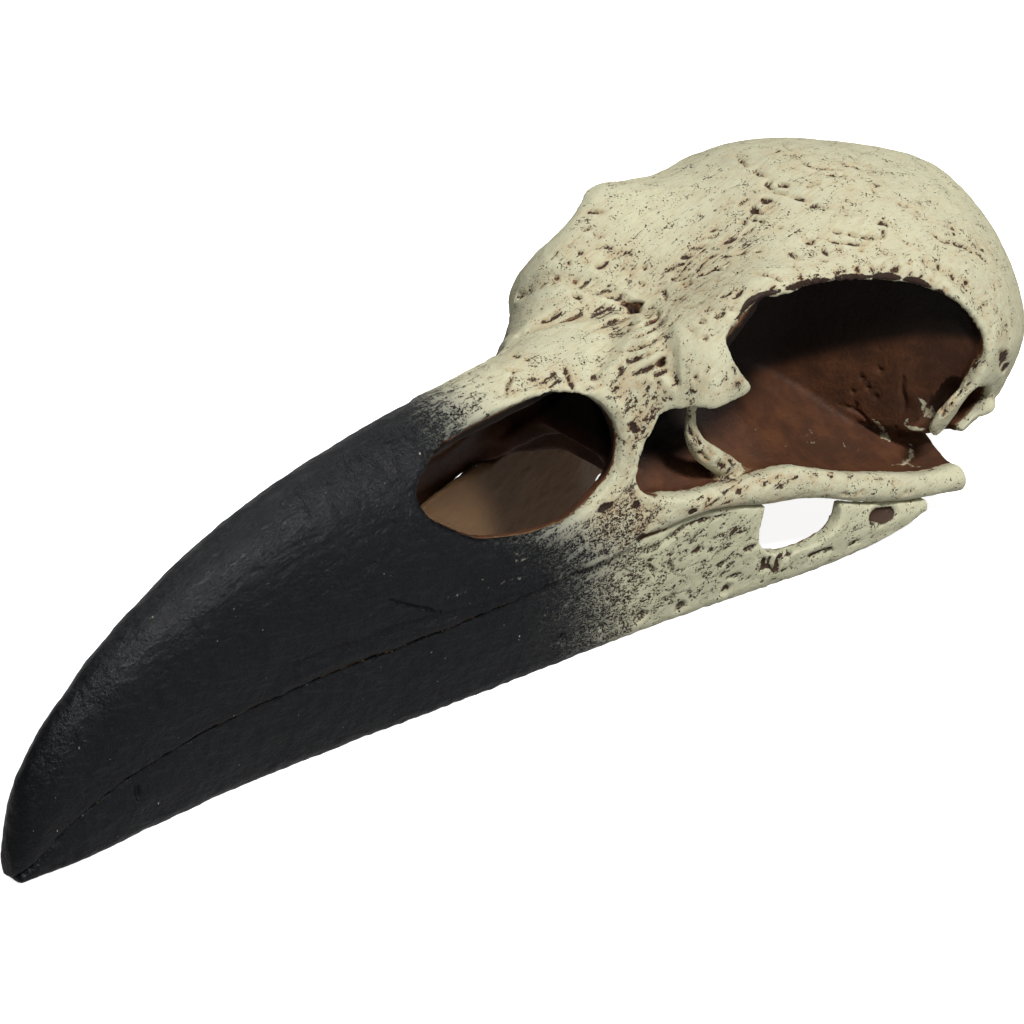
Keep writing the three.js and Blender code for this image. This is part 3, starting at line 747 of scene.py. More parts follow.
# %% Cracks, gashes and pits
KINDS = {
    # half width, depth, darkness
    "gash": (0.24, 0.5, 1.0),
    "crack": (0.16, 0.38, 1.0),
    "flake": (0.14, 0.3, 1.0),
    "scratch": (0.09, 0.18, 0.9),
    "groove": (0.10, 0.08, 0.0),
    "stain": (0.11, 0.06, 0.8),
    "pit": (0.17, 0.3, 1.0),
    "patch": (0.42, 0.14, 0.9),
    "band": (0.4, 0.0, 1.0),
    "streak": (0.22, 0.0, 1.0),
    "faint": (0.14, 0.0, 0.85),
}
BEND_ROOM = 0.22  # mm round a mark in which the mesh bends down to it
MARKS = {
    "gash": [
        [(627, 350), (637, 347), (648, 342), (659, 338)],
        [(630, 376), (645, 369), (657, 362), (665, 357)],
        [(622, 303), (634, 305), (644, 303)],
        [(638, 327), (646, 324), (655, 319)], [(668, 326), (672, 321), (678, 316)],
        [(684, 307), (692, 306), (702, 302)], [(848, 233), (857, 235)],
        [(805, 238), (811, 242)], [(808, 243), (812, 240)], [(790, 251), (794, 255), (800, 259)],
        [(878, 224), (883, 222), (889, 226)], [(732, 298), (741, 291)],
        [(955, 244), (963, 245), (971, 250), (978, 254)], [(752, 205), (755, 212)],
        [(765, 184), (770, 181)], [(779, 183), (787, 186)], [(665, 313), (668, 311)],
        [(664, 362), (660, 366)],
    ],
    "crack": [
        [(593, 330), (606, 324), (618, 320), (630, 316)], [(627, 325), (634, 323), (640, 321)],
        [(655, 322), (657, 313)], [(633, 337), (642, 334), (655, 329)],
        [(628, 362), (640, 357), (650, 352), (657, 349)], [(588, 212), (596, 211), (603, 212)],
        [(582, 230), (590, 228)], [(594, 266), (600, 267), (607, 263)], [(572, 294), (581, 298)],
        [(558, 323), (570, 319), (580, 315)], [(540, 322), (550, 319), (560, 311)],
        [(664, 290), (665, 301)], [(672, 281), (683, 278), (696, 272)],
        [(696, 277), (705, 273), (714, 269), (724, 269), (729, 264)], [(681, 287), (690, 284)],
        [(735, 155), (741, 161), (746, 166)], [(749, 173), (754, 171), (760, 174), (766, 175)],
        [(766, 184), (771, 187), (778, 185)], [(790, 196), (796, 197), (806, 201)],
        [(810, 205), (818, 205)], [(835, 231), (841, 232)], [(858, 236), (868, 237), (882, 237)],
        [(826, 238), (835, 241), (845, 242), (857, 244), (866, 243), (872, 238)],
        [(884, 237), (884, 228)], [(934, 232), (938, 237), (943, 240), (950, 242)],
        [(898, 202), (905, 205), (912, 205)], [(752, 272), (765, 274), (775, 277), (782, 281)],
        [(507, 368), (513, 370), (520, 369)], [(513, 371), (512, 378), (508, 386), (507, 396)],
        [(563, 364), (567, 373), (571, 384), (573, 389)], [(513, 354), (519, 357)],
        [(823, 246), (825, 252), (828, 255)], [(710, 238), (717, 234)], [(741, 219), (745, 224)],
        [(390, 600), (408, 606), (440, 612)], [(652, 377), (659, 373), (666, 370)],
        [(753, 505), (765, 504), (780, 503)], [(716, 317), (724, 313)], [(699, 321), (704, 321)],
        [(762, 199), (767, 203)], [(752, 220), (757, 219)], [(760, 220), (764, 222)],
        [(979, 254), (985, 260), (989, 264)],
    ],
    "flake": [
        # before the eye, rising to the right
        [(673, 300), (683, 297)], [(681, 284), (690, 281)], [(691, 305), (702, 302)],
        [(712, 269), (730, 261)], [(707, 258), (717, 254)], [(683, 258), (691, 255)],
        [(694, 250), (704, 246)], [(699, 240), (709, 235)], [(709, 232), (717, 227)],
        [(725, 243), (736, 238)], [(730, 256), (746, 252)], [(738, 222), (749, 218)],
        [(751, 209), (762, 213)], [(764, 198), (772, 201)], [(741, 235), (751, 229)],
        [(715, 282), (725, 278)], [(733, 274), (741, 271)], [(665, 271), (675, 267)],
        [(670, 279), (681, 274)], [(648, 308), (654, 306)], [(720, 297), (731, 293)],
        # the teeth above the eye socket
        [(870, 263), (873, 271)], [(883, 266), (884, 270)], [(845, 268), (846, 272)],
        [(857, 266), (859, 271)], [(894, 268), (896, 271)], [(812, 276), (813, 279)],
        [(921, 275), (923, 279)],
        # brown between the streaks of the spur
        [(970, 382), (958, 395), (950, 406)], [(962, 386), (953, 398)], [(952, 404), (943, 416)],
        [(946, 404), (940, 411)],
        # grooves in the back wall of the eye socket
        [(840, 405), (850, 408), (860, 413), (872, 425)],
        [(904, 376), (902, 390), (905, 402), (903, 412)], [(896, 427), (899, 434)],
        # the lump of the hook
        [(689, 428), (692, 438)], [(697, 436), (702, 445)], [(700, 452), (708, 461)],
        [(710, 449), (716, 456)], [(717, 463), (725, 466)], [(728, 459), (736, 463)],
    ],
    "band": [
        [(739, 317), (745, 308), (754, 300), (766, 295), (780, 291)],
        [(786, 289), (802, 285), (817, 282), (831, 280)],
        [(834, 279), (851, 278), (868, 277)], [(872, 277), (885, 277), (900, 278)],
        [(904, 279), (917, 282), (930, 287)], [(936, 290), (945, 295)],
    ],
    "groove": [
        [(235, 600), (300, 560), (370, 520)], [(250, 612), (320, 572), (395, 530)],
        [(262, 624), (340, 582), (410, 545)], [(225, 590), (285, 552), (330, 530)],
        [(60, 812), (100, 780), (140, 752)], [(290, 640), (350, 608), (405, 580)],
        [(345, 548), (390, 522)], [(200, 655), (250, 625)],
    ],
    "scratch": [
        [(809, 203), (835, 209), (861, 216)], [(777, 148), (793, 156), (814, 167), (835, 169)],
        [(840, 161), (861, 169)], [(764, 188), (783, 193), (809, 201)],
        [(612, 334), (625, 332), (637, 328)], [(612, 354), (625, 350)], [(640, 350), (652, 346)],
        [(547, 326), (558, 322)], [(592, 233), (600, 237), (605, 234)],
        [(590, 250), (604, 247), (614, 249)], [(622, 254), (632, 251)],
        [(650, 294), (658, 291), (665, 291)], [(655, 286), (664, 283)],
        [(672, 273), (680, 271), (687, 268)], [(672, 265), (680, 264), (690, 263)],
        [(698, 313), (713, 309), (728, 309), (737, 311)], [(763, 190), (775, 192), (788, 193)],
        [(822, 206), (840, 207), (860, 211)], [(833, 214), (843, 215), (850, 216)],
        [(784, 146), (795, 152), (808, 156)], [(800, 162), (810, 165), (818, 166)],
        [(788, 166), (800, 169), (815, 172), (822, 168), (828, 166)],
        [(822, 174), (835, 175), (848, 176)],
        [(897, 236), (905, 241), (915, 247)], [(975, 238), (980, 245), (982, 252)],
        [(611, 391), (620, 387)], [(583, 390), (595, 388), (605, 384)], [(844, 200), (853, 202)],
        [(848, 190), (853, 189)], [(791, 265), (798, 266)], [(687, 328), (694, 331)],
        [(511, 388), (515, 397)], [(877, 180), (876, 187)], [(950, 228), (957, 230)],
        [(657, 383), (660, 381)], [(578, 262), (590, 262)], [(773, 154), (780, 151), (786, 156)],
        [(915, 207), (920, 215)], [(728, 204), (733, 202)], [(739, 205), (747, 199)],
    ],
    "stain": [
        [(562, 250), (568, 253), (575, 256)], [(570, 246), (574, 249)], [(607, 256), (618, 258)],
        [(620, 268), (628, 270), (633, 275)], [(543, 276), (553, 274)], [(680, 258), (688, 257)],
        [(688, 250), (697, 247), (707, 243)], [(693, 256), (700, 254), (705, 250)],
        [(690, 264), (697, 262), (712, 260)], [(697, 236), (703, 232), (710, 230)],
        [(728, 222), (735, 220)], [(733, 265), (740, 273)], [(745, 262), (748, 270)],
        [(922, 218), (930, 217), (934, 219)], [(862, 163), (870, 167)], [(870, 170), (878, 172)],
        [(955, 254), (962, 256)], [(988, 246), (990, 252)], [(981, 299), (985, 293)],
        [(700, 291), (712, 289), (725, 285)], [(706, 298), (716, 296)], [(655, 440), (645, 452)],
        [(638, 458), (632, 468), (627, 478), (625, 485)], [(625, 485), (632, 495), (640, 501)],
        [(645, 510), (655, 515)], [(703, 507), (712, 505), (720, 502), (735, 504)],
        [(740, 500), (750, 498)], [(785, 500), (800, 496), (815, 493)], [(832, 483), (840, 483)],
        [(752, 505), (760, 504)], [(765, 503), (772, 502)], [(778, 500), (784, 499)],
        [(822, 492), (828, 491)], [(703, 508), (709, 506)], [(770, 480), (778, 478)],
        [(785, 478), (795, 476)], [(802, 476), (812, 475)], [(820, 475), (832, 475)],
        [(840, 475), (850, 475)], [(858, 477), (868, 478)], [(750, 484), (760, 481)],
        [(762, 209), (772, 208)], [(536, 384), (546, 388), (558, 386)], [(1003, 330), (1009, 325)],
    ],
    "pit": [
        [(880, 370)], [(868, 388)], [(853, 392)], [(856, 405)], [(876, 397)], [(862, 378)],
        [(578, 252), (582, 253)], [(573, 281), (576, 282)], [(608, 298), (613, 298)], [(642, 284)],
        [(556, 278)], [(569, 264)], [(645, 268)], [(725, 256)], [(758, 251)], [(740, 316)],
        [(705, 338)], [(695, 378)], [(620, 368)], [(739, 491)], [(842, 494), (848, 495)], [(855, 495)],
        [(861, 493), (864, 492)], [(895, 483)], [(906, 493)], [(912, 490), (912, 494)], [(840, 249)],
        [(861, 250)], [(885, 253)], [(927, 266)], [(938, 266), (940, 270)], [(910, 263)],
        [(952, 275), (953, 280)], [(967, 283)], [(984, 305), (988, 304)], [(996, 287)], [(809, 185)],
        [(817, 183)], [(527, 359)], [(823, 260)], [(780, 227)], [(873, 188), (875, 194)],
        [(898, 270), (900, 266)],
    ],
    "patch": [
        [(637, 540), (645, 536), (651, 538)], [(598, 511), (606, 507), (614, 503)],
        [(632, 424), (635, 432)], [(690, 512), (696, 511)], [(636, 503), (637, 507)],
    ],
}
PALE_STREAKS = {
    "streak": [
        # the edge of the ring, the ridge below it and the streaks beside the spur
        [(908, 417), (906, 424), (912, 428), (922, 429), (928, 425)],
        [(904, 428), (911, 437), (912, 447), (911, 457), (903, 464), (893, 465)],
        [(917, 396), (923, 402), (928, 409), (933, 416)], [(921, 409), (928, 411), (936, 413)],
        [(929, 403), (932, 410), (935, 417)], [(924, 414), (930, 417)],
        [(877, 437), (884, 434), (890, 438)], [(884, 439), (890, 440)],
        [(872, 419), (879, 424), (886, 432)],
    ],
    "faint": [
        [(777, 447), (800, 444), (826, 442), (852, 440)], [(755, 430), (768, 426), (780, 424)],
        [(783, 434), (800, 431), (822, 429)], [(765, 439), (780, 437)], [(800, 437), (815, 436)],
        [(486, 589), (500, 584), (520, 578), (540, 573)], [(548, 571), (565, 567), (585, 562)],
        [(590, 561), (605, 558), (614, 555)], [(440, 600), (462, 594), (478, 590)],
        [(500, 566), (522, 560), (540, 554)], [(512, 556), (530, 551)], [(545, 560), (566, 553)],
        [(700, 480), (715, 479), (735, 481)], [(958, 370), (962, 369)], [(790, 421), (797, 416)],
        [(840, 447), (858, 450), (872, 452)], [(905, 464), (915, 467), (926, 466)],
    ],
}
JAW_MARKS = {
    "gash": [
        [(781, 552), (779, 560), (777, 570)], [(772, 556), (770, 564)], [(765, 558), (764, 566)],
        [(789, 550), (787, 558)], [(823, 505), (826, 513), (822, 521)],
    ],
    "crack": [
        [(640, 553), (660, 545), (682, 529), (702, 521), (730, 514)], [(137, 785), (139, 800)],
        [(760, 571), (768, 567), (776, 572)], [(650, 566), (655, 574)], [(669, 560), (672, 570)],
        [(693, 553), (704, 548)], [(744, 550), (756, 546)], [(716, 567), (726, 562)],
        [(810, 556), (822, 552), (834, 548)], [(850, 545), (862, 540)], [(728, 578), (740, 574)],
    ],
    "stain": [
        [(648, 578), (660, 572)], [(662, 588), (672, 581)], [(676, 570), (690, 566)],
        [(704, 552), (716, 549)], [(724, 560), (734, 553)], [(736, 536), (748, 532)],
        [(756, 545), (762, 540)], [(798, 556), (806, 551)], [(742, 566), (750, 560)],
        [(622, 596), (634, 590)], [(700, 580), (708, 575)], [(690, 543), (702, 538)],
        [(882, 535), (893, 530), (903, 526)], [(862, 538), (872, 532)],
    ],
    "patch": [
        [(872, 519), (882, 514), (892, 510)],
        [(803, 538), (813, 531), (822, 524)],
    ],
}


def marks_on(tree, marks):
    """Every mark as (touches, half width, depth, darkness), with mirrored ones where hidden."""
    rows = []
    for kind, lines in marks.items():
        half, depth, dark = KINDS[kind]
        for line in lines:
            touches = drawn(tree, line)
            rows.append((touches, half, depth, dark))
            rows.append((mirrored(tree, touches), half, depth, dark))
    return [row for row in rows if row[0]]


def carve(piece, marks):
    """Presses marks into a piece, with a little room for the mesh to bend."""
    return press(piece, [(touches, half + BEND_ROOM, depth)
                         for touches, half, depth, _dark in marks if depth])


skull_tree = tree_of(skull)
skull_marks = marks_on(skull_tree, MARKS)
pale_marks = marks_on(skull_tree, PALE_STREAKS)
carve(skull, skull_marks)

DENT = [(874, 518), (884, 513), (894, 510)]  # in the jaw's rear end
NOTCHES = [[(680, 609), (682, 605)], [(725, 592), (727, 588)], [(560, 641), (562, 638)],
           [(640, 618), (643, 615)], [(600, 630), (604, 627)]]
jaw_tree = tree_of(jaw)
jaw_marks = marks_on(jaw_tree, JAW_MARKS)
carve(jaw, jaw_marks)
press(jaw, both_sides(jaw_tree, [(1.5, 0.7, DENT), *((0.9, 0.5, notch) for notch in NOTCHES)]))
print("marks:", len(skull_marks), len(jaw_marks))

# %% [markdown]
# Cast bone is never quite smooth. Two displacements by procedural clouds give it a slow
# unevenness and a finer tooling.

# %% Uneven surface
SLOW, FINE = (3.2, 0.22), (0.9, 0.13)  # size and strength of the two clouds
OUTER_SKIN = 1.2  # depth below the outside that the finer clouds still reach
UNDERSIDE = (12, 100)  # from where to where the first outside had an underside
FACES_DOWN = -0.4


def uneven(piece, size, strength, where=""):
    clouds = bpy.data.textures.new("clouds", "CLOUDS")
    clouds.noise_scale = size * MM
    clouds.noise_depth = 2
    apply(piece, "DISPLACE", texture=clouds, texture_coords="LOCAL", strength=strength * MM,
          mid_level=0.5, vertex_group=where)
    bpy.data.textures.remove(clouds)
    return piece


def away_from(tree, points):
    """How far points lie from a surface, in millimetres."""
    return np.array([tree.find_nearest(Vector(point))[3] for point in points]) / MM


def open_shell():
    """The skull's first outside without the underside of face and bill, which the deck closes."""
    mesh = bmesh.new()
    mesh.from_mesh(shell.data)
    mesh.normal_update()
    below = [face for face in mesh.faces if face.normal.z < FACES_DOWN
             and UNDERSIDE[0] < (face.calc_center_median().x - START) / MM < UNDERSIDE[1]]
    bmesh.ops.delete(mesh, geom=below, context="FACES_ONLY")
    tree = BVHTree.FromBMesh(mesh)
    mesh.free()
    return tree


def flatten_foot(piece):
    """Lifts whatever dips below the table to it, as a cast is rubbed flat where it stands."""
    points = points_of(piece)
    points[:, 2] = np.maximum(points[:, 2], 0)
    move_to(piece, points)


shell_tree = open_shell()
group = skull.vertex_groups.new(name="outside")
in_skin = np.flatnonzero(away_from(shell_tree, points_of(skull)) < OUTER_SKIN)
group.add(in_skin.tolist(), 1.0, "REPLACE")
for piece, where in ((skull, "outside"), (jaw, "")):
    uneven(piece, *SLOW)
    uneven(piece, *FINE, where)
skull.vertex_groups.clear()
flatten_foot(jaw)
print("uneven:", skull.name, jaw.name)

# %% [markdown]
# The mesh is now much finer than the picture needs. Decimating keeps small faces where the
# surface bends, as in a crack, and joins them where it is smooth.

# %% Fewer faces
FACE_LIMIT = {"skull_bone": 192000, "lower_jaw_bone": 90000}  # triangles


def neighbours(piece):
    pairs = np.empty(len(piece.data.edges) * 2, int)
    piece.data.edges.foreach_get("vertices", pairs)
    return pairs.reshape(-1, 2)


def averaged(values, pairs, times):
    """Each point's value blended with its neighbours', again and again."""
    counts = np.bincount(pairs.ravel(), minlength=len(values))[:, None]
    values = values.reshape(len(values), -1)
    for _ in range(times):
        total = np.stack([np.bincount(pairs[:, 0], column[pairs[:, 1]], len(values))
                          + np.bincount(pairs[:, 1], column[pairs[:, 0]], len(values))
                          for column in values.T], axis=1)
        values = (values + total / counts) / 2
    return values


def thin_out(piece):
    faces = len(piece.data.polygons) * 2
    return apply(piece, "DECIMATE", ratio=min(1, FACE_LIMIT[piece.name] / faces),
                 use_collapse_triangulate=True)


def set_attribute(piece, name, values):
    attribute = piece.data.attributes.new(name, "FLOAT", "POINT")
    attribute.data.foreach_set("value", np.ascontiguousarray(values, np.float32))


def on_skull(points):
    """Points of the frame on the skull's own scale, in millimetres."""
    return (points - (START, 0, 0)) / MM


def smooth_step(low, high, values):
    t = np.clip((values - low) / (high - low), 0, 1)
    return t * t * (3 - 2 * t)


thin_out(skull)
thin_out(jaw)
print("triangles:", len(skull.data.polygons), len(jaw.data.polygons))

# %% [markdown]
# The paint follows measured attributes on the points, so it sits on the form from every side: how deep
# a point lies inside the shell, with painted shade added on top high under the roofs of the hollows,
# how far along the bill's black fade it is, how near a crack, how worn, and whether it is in a dip or
# on a ridge.

# %% Where the paints lie
BLACK_ENDS = [
    # height, and where along the skull the black begins to break up and where it ends
    (0, 46, 71), (6, 45.5, 70), (11, 44.5, 71), (15, 42, 67), (18, 39.5, 61), (23, 38.0, 59.5),
    (27, 37.5, 59),
]
RIM_SHOWS = (0.5, 0.95)  # mm below the outside, where the pale paint ends on a rim
BAR_FACE = 2.1  # mm of the cheek bar's top that stay pale
BAR_RISE = 0.6  # mm above the bar's top up to which they do
BAR_SHOWS = 65  # where the bar comes free of the face
ROD_SKIN = 0.22  # mm round a rod that still get its pale paint
WORN = [
    # picture point, reach in mm, how bare it is
    (735, 250, 3.2, 0.36), (700, 262, 3.2, 0.36), (690, 290, 3.0, 0.34), (757, 206, 2.2, 0.36),
    (725, 300, 3.0, 0.34), (830, 240, 3.0, 0.2), (840, 165, 4.0, 0.24), (960, 240, 3.5, 0.24),
    (640, 395, 4.0, 0.42), (640, 428, 2.6, 0.55), (625, 525, 3.2, 0.55), (600, 308, 3.2, 0.34),
    (565, 308, 3.0, 0.28), (572, 250, 2.2, 0.3), (715, 385, 3.0, 0.36), (1003, 325, 3.0, 0.34),
    (560, 385, 3.0, 0.4), (530, 385, 2.5, 0.35), (700, 455, 1.6, 0.55), (730, 466, 1.6, 0.5),
    (690, 415, 1.2, 0.8), (693, 432, 1.0, 0.6), (950, 405, 1.6, 0.5), (942, 416, 1.2, 0.62),
    (963, 395, 1.0, 0.5), (980, 366, 1.2, 0.5), (990, 350, 1.0, 0.4), (645, 470, 2.5, 0.4),
    (650, 505, 2.5, 0.45), (770, 490, 2.5, 0.34), (730, 498, 2.0, 0.45), (660, 345, 1.6, 0.3),
    (780, 160, 3.0, 0.2), (620, 265, 3.0, 0.24), (990, 255, 2.5, 0.24), (1003, 355, 0.8, 1.0),
    (1005, 367, 0.8, 1.0), (1002, 361, 0.7, 0.8), (705, 505, 1.4, 0.6), (722, 503, 1.2, 0.55),
    (632, 440, 1.6, 0.6), (628, 415, 1.4, 0.5), (636, 485, 1.6, 0.55), (700, 400, 2.4, 0.4),
    (697, 442, 1.1, 0.58), (706, 455, 1.2, 0.6), (722, 464, 1.2, 0.58), (738, 465, 0.9, 0.5),
    # the rim of the eye socket, from its front round to its back
    (742, 381, 0.7, 0.75), (735, 367, 0.7, 0.75), (730, 350, 0.7, 0.75), (731, 334, 0.7, 0.7),
    (738, 318, 0.8, 0.6), (762, 297, 0.8, 0.85), (774, 290, 0.9, 0.85), (787, 285, 0.9, 0.85),
    (802, 280, 0.7, 0.7), (818, 277, 0.6, 0.75), (836, 274, 0.6, 0.7), (855, 272, 0.6, 0.8),
    (875, 271, 0.6, 0.8), (893, 273, 0.6, 0.7), (912, 276, 0.6, 0.7), (930, 282, 0.6, 0.65),
    (946, 290, 0.6, 0.7), (962, 303, 0.6, 0.65), (974, 320, 0.6, 0.6), (982, 340, 0.6, 0.6),
    # the upper edge of the cheek bar
    (765, 481, 1.0, 0.62), (780, 479, 0.9, 0.6), (795, 477, 0.9, 0.62), (815, 477, 0.9, 0.6),
    (832, 476, 0.8, 0.55), (850, 476, 0.8, 0.6), (880, 478, 0.8, 0.5), (740, 486, 1.1, 0.6),
    (722, 388, 1.6, 0.5), (738, 383, 1.2, 0.6), (700, 372, 1.8, 0.3),
]
JAW_WORN = [
    (660, 590, 6.0, 0.34), (600, 620, 5.0, 0.4), (720, 560, 4.0, 0.44), (775, 565, 2.6, 0.55),
    (740, 530, 3.0, 0.45), (800, 555, 2.5, 0.3), (845, 525, 2.0, 0.25), (883, 514, 1.4, 1.0),
    (872, 520, 1.2, 0.7), (690, 530, 3.0, 0.4), (760, 540, 2.5, 0.45),
    (640, 560, 3.0, 0.45), (700, 585, 3.0, 0.35),
]
PLAIN_WEAR = 0.13
# Painted shade: above these heights the brown under the roofs of the hollows is darkened to nearly
# black.
SHADE_ABOVE = (15.5, 13.5)  # height above which the brown darkens, in the bill and in the sockets
DARK_ROOF = 66  # where the sockets take over from the bill's hollow
SHADE_GROWS_OVER = 3  # mm of height over which it darkens
RIDGE_HEIGHT = 0.35  # mm above its surroundings that make a full ridge
JAW_INNER = 0.76  # the jaw's inner faces are a paler brown
INNER_FACE, UPPER_EDGE = 0.35, 0.12  # mm of the jaw's inner faces and of its edge that stay brown
EDGE_FROM, EDGE_TO = 3, 66  # the lowest point and the end of that edge
MARK_REACH, STAIN_REACH, STREAK_REACH = 0.4, 1.5, 0.3  # mm round a stroke that its paint reaches


def near_rod(points, rod_line):
    """1 on a rod of bone, 0 just outside it, with both sides of the head alike."""
    folded = points * (1, 0, 1) + np.abs(points) * (0, 1, 0)
    far = np.full(len(points), np.inf)
    for at, y, z, width, thick in smooth_line(rod_line, 6):
        along = np.hypot(folded[:, 0] - at, folded[:, 2] - z) / (width + ROD_SKIN)
        across = (folded[:, 1] - y) / (thick + ROD_SKIN)
        far = np.minimum(far, np.hypot(along, across))
    return 1 - smooth_step(0.95, 1.2, far)


def roof_shade(points):
    """Painted shade: 1 high up under the roofs of the hollows, where the brown is painted nearly
    black, 0 low in them.
    """
    at, _, z = points.T
    low = np.where(at > DARK_ROOF, SHADE_ABOVE[1] + np.clip(at - 88, 0, 8) * 0.5, SHADE_ABOVE[0])
    return smooth_step(low, low + SHADE_GROWS_OVER, z)


# The brown's share inside the shell, raised above 1 by painted shade high under the roofs of the
# hollows.
def hollowness_and_roof_shade(points, depth):
    inner = smooth_step(*RIM_SHOWS, depth)
    rows = np.array([between(BARS, at) for at in np.clip(points[:, 0], *DECK)])
    bar = (np.abs(points[:, 1]) > rows[:, 0] - BAR_FACE) & (points[:, 0] > BAR_SHOWS)
    low = points[:, 2] < rows[:, 1] + BAR_RISE
    inner[bar & low] = 0
    for rod_line in (HOOK, SPUR, FLANGE):
        inner *= 1 - near_rod(points, rod_line)
    return inner * (1 + roof_shade(points))


def jaw_hollowness(points):
    """JAW_INNER on the inner faces and on the edge under the skull, where the brown was left."""
    values = np.zeros(len(points))
    for i, (at, y, z) in enumerate(points):
        low, high = jaw_gap(max(at, JAW_FORKS))
        room = low + (high - low) * (z - GAP_LOW) / (GAP_HIGH - GAP_LOW)
        top = bite(at)[1] - between(SEAM, at)[0]
        on_face = at > JAW_FORKS and abs(y) < room + INNER_FACE
        on_edge = at < EDGE_TO and z > max(top - UPPER_EDGE, EDGE_FROM)
        values[i] = JAW_INNER * (on_face or on_edge)
    return values


def blackness(points):
    ends = np.array([between(BLACK_ENDS, z) for z in points[:, 2]])
    return 1 - smooth_step(ends[:, 0], ends[:, 1], points[:, 0])


def closeness(piece, marks, beyond):
    """Half at the edge of each mark, more inside it, and 0 at some mm beyond it."""
    tree = search_tree(piece)
    facing = [Vector(normal) for normal in normals_of(piece)]
    values = np.zeros(len(piece.data.vertices))
    for touches, half, _depth, dark in marks:
        places, away, reaches = reached(tree, facing, touches, half, beyond)
        if len(places):
            near = 0.5 + 0.5 * (reaches - away) / beyond
            values[places] = np.maximum(values[places], dark * near)
    return values


def wear(piece, tree, spots):
    points = points_of(piece)
    values = np.full(len(points), PLAIN_WEAR)
    for x, y, reach, bare in spots:
        touches = drawn(tree, [(x, y)])
        for point, _normal, _size in touches + mirrored(tree, touches):
            away = np.linalg.norm(points - point, axis=1) / MM
            near = 1 - smooth_step(reach * 0.3, reach * 1.4, away)
            values = np.maximum(values, bare * near)
    return values


def ridges(piece, times=8):
    """Above half on ridges, below half in dips."""
    points = points_of(piece)
    bend = np.sum((points - averaged(points, neighbours(piece), times)) * normals_of(piece), axis=1)
    return np.clip(0.5 + averaged(bend, neighbours(piece), 1)[:, 0] / (RIDGE_HEIGHT * MM), 0, 1)


def paint_attributes(piece, marks, pale, spots, hollow):
    layers = {"hollow": hollow, "black": blackness(on_skull(points_of(piece))),
              "mark": closeness(piece, marks, MARK_REACH),
              "stain": closeness(piece, marks, STAIN_REACH),
              "streak": closeness(piece, pale, STREAK_REACH),
              "wear": wear(piece, tree_of(piece), spots), "ridge": ridges(piece)}
    for name, values in layers.items():
        set_attribute(piece, name, values)
    return list(layers)


skull_points = on_skull(points_of(skull))
LAYERS = paint_attributes(skull, skull_marks, pale_marks, WORN,
                          hollowness_and_roof_shade(skull_points, away_from(shell_tree, points_of(skull))))
paint_attributes(jaw, jaw_marks, [], JAW_WORN, jaw_hollowness(on_skull(points_of(jaw))))
print("attributes:", LAYERS)

# %% [markdown]
# Materials are trees of nodes. These small helpers add a node, set its inputs and hand back
# its output, so that a tree reads like a formula.

# %% Helpers for nodes
def fill(tree, made, inputs):
    """Links or sets a node's inputs, each called by its name, or by its number as _0 or _1."""
    for key, value in inputs.items():
        socket = made.inputs[int(key[1:]) if key[1:].isdigit() else key]
        if isinstance(value, bpy.types.NodeSocket):
            tree.links.new(value, socket)
        else:
            socket.default_value = value


def node(tree, kind, output=0, settings=(), **inputs):
    made = tree.nodes.new(kind)
    for key, value in dict(settings).items():
        setattr(made, key, value)
    fill(tree, made, inputs)
    return made.outputs[output]


def calc(tree, operation, a, b=0.0, clamp=False):
    settings = {"operation": operation, "use_clamp": clamp}
    return node(tree, "ShaderNodeMath", 0, settings, _0=a, _1=b)


def plus(tree, a, b):
    return calc(tree, "ADD", a, b)


def minus(tree, a, b):
    return calc(tree, "SUBTRACT", a, b)


def times(tree, a, b):
    return calc(tree, "MULTIPLY", a, b)


def without(tree, share):
    """What is left of 1."""
    return minus(tree, 1.0, share)


def off_middle(tree, value):
    """How far a noise is from its middle, either way."""
    return calc(tree, "ABSOLUTE", minus(tree, value, 0.5))


def blend(tree, factor, a, b):
    return node(tree, "ShaderNodeMix", 2, {"data_type": "RGBA"}, _0=factor, _6=a, _7=b)


def ramp(tree, value, low, high, to_low=0.0, to_high=1.0):
    """A smooth step from one value to another."""
    return node(tree, "ShaderNodeMapRange", settings={"interpolation_type": "SMOOTHSTEP"},
                _0=value, _1=low, _2=high, _3=to_low, _4=to_high)


def cloud(tree, vector, scale, detail=3.0, roughness=0.55):
    return node(tree, "ShaderNodeTexNoise", Vector=vector, Scale=scale, Detail=detail,
                Roughness=roughness)


def stretched(tree, vector, scales, turn=(0, 0, 0)):
    return node(tree, "ShaderNodeMapping", settings={"vector_type": "TEXTURE"}, Vector=vector,
                Rotation=[math.radians(angle) for angle in turn], Scale=scales)


def attribute(tree, name):
    return node(tree, "ShaderNodeAttribute", 2, {"attribute_name": name})


def new_group(name, inputs, outputs):
    """An empty node group with named sockets: its tree, its input node and its output node."""
    tree = bpy.data.node_groups.new(name, "ShaderNodeTree")
    for socket, kind in inputs.items():
        tree.interface.new_socket(socket, in_out="INPUT", socket_type=kind)
    for socket, kind in outputs.items():
        tree.interface.new_socket(socket, in_out="OUTPUT", socket_type=kind)
    return tree, tree.nodes.new("NodeGroupInput"), tree.nodes.new("NodeGroupOutput")


def use_group(tree, group, **inputs):
    made = tree.nodes.new("ShaderNodeGroup")
    made.node_tree = group
    fill(tree, made, inputs)
    return made.outputs


print("node helpers ready")

# %% [markdown]
# Dry brushing drags nearly dry paint over the relief: it stays on the high spots and breaks up
# into specks towards bare places. The group compares a speckled height with how bare a place
# is meant to be.

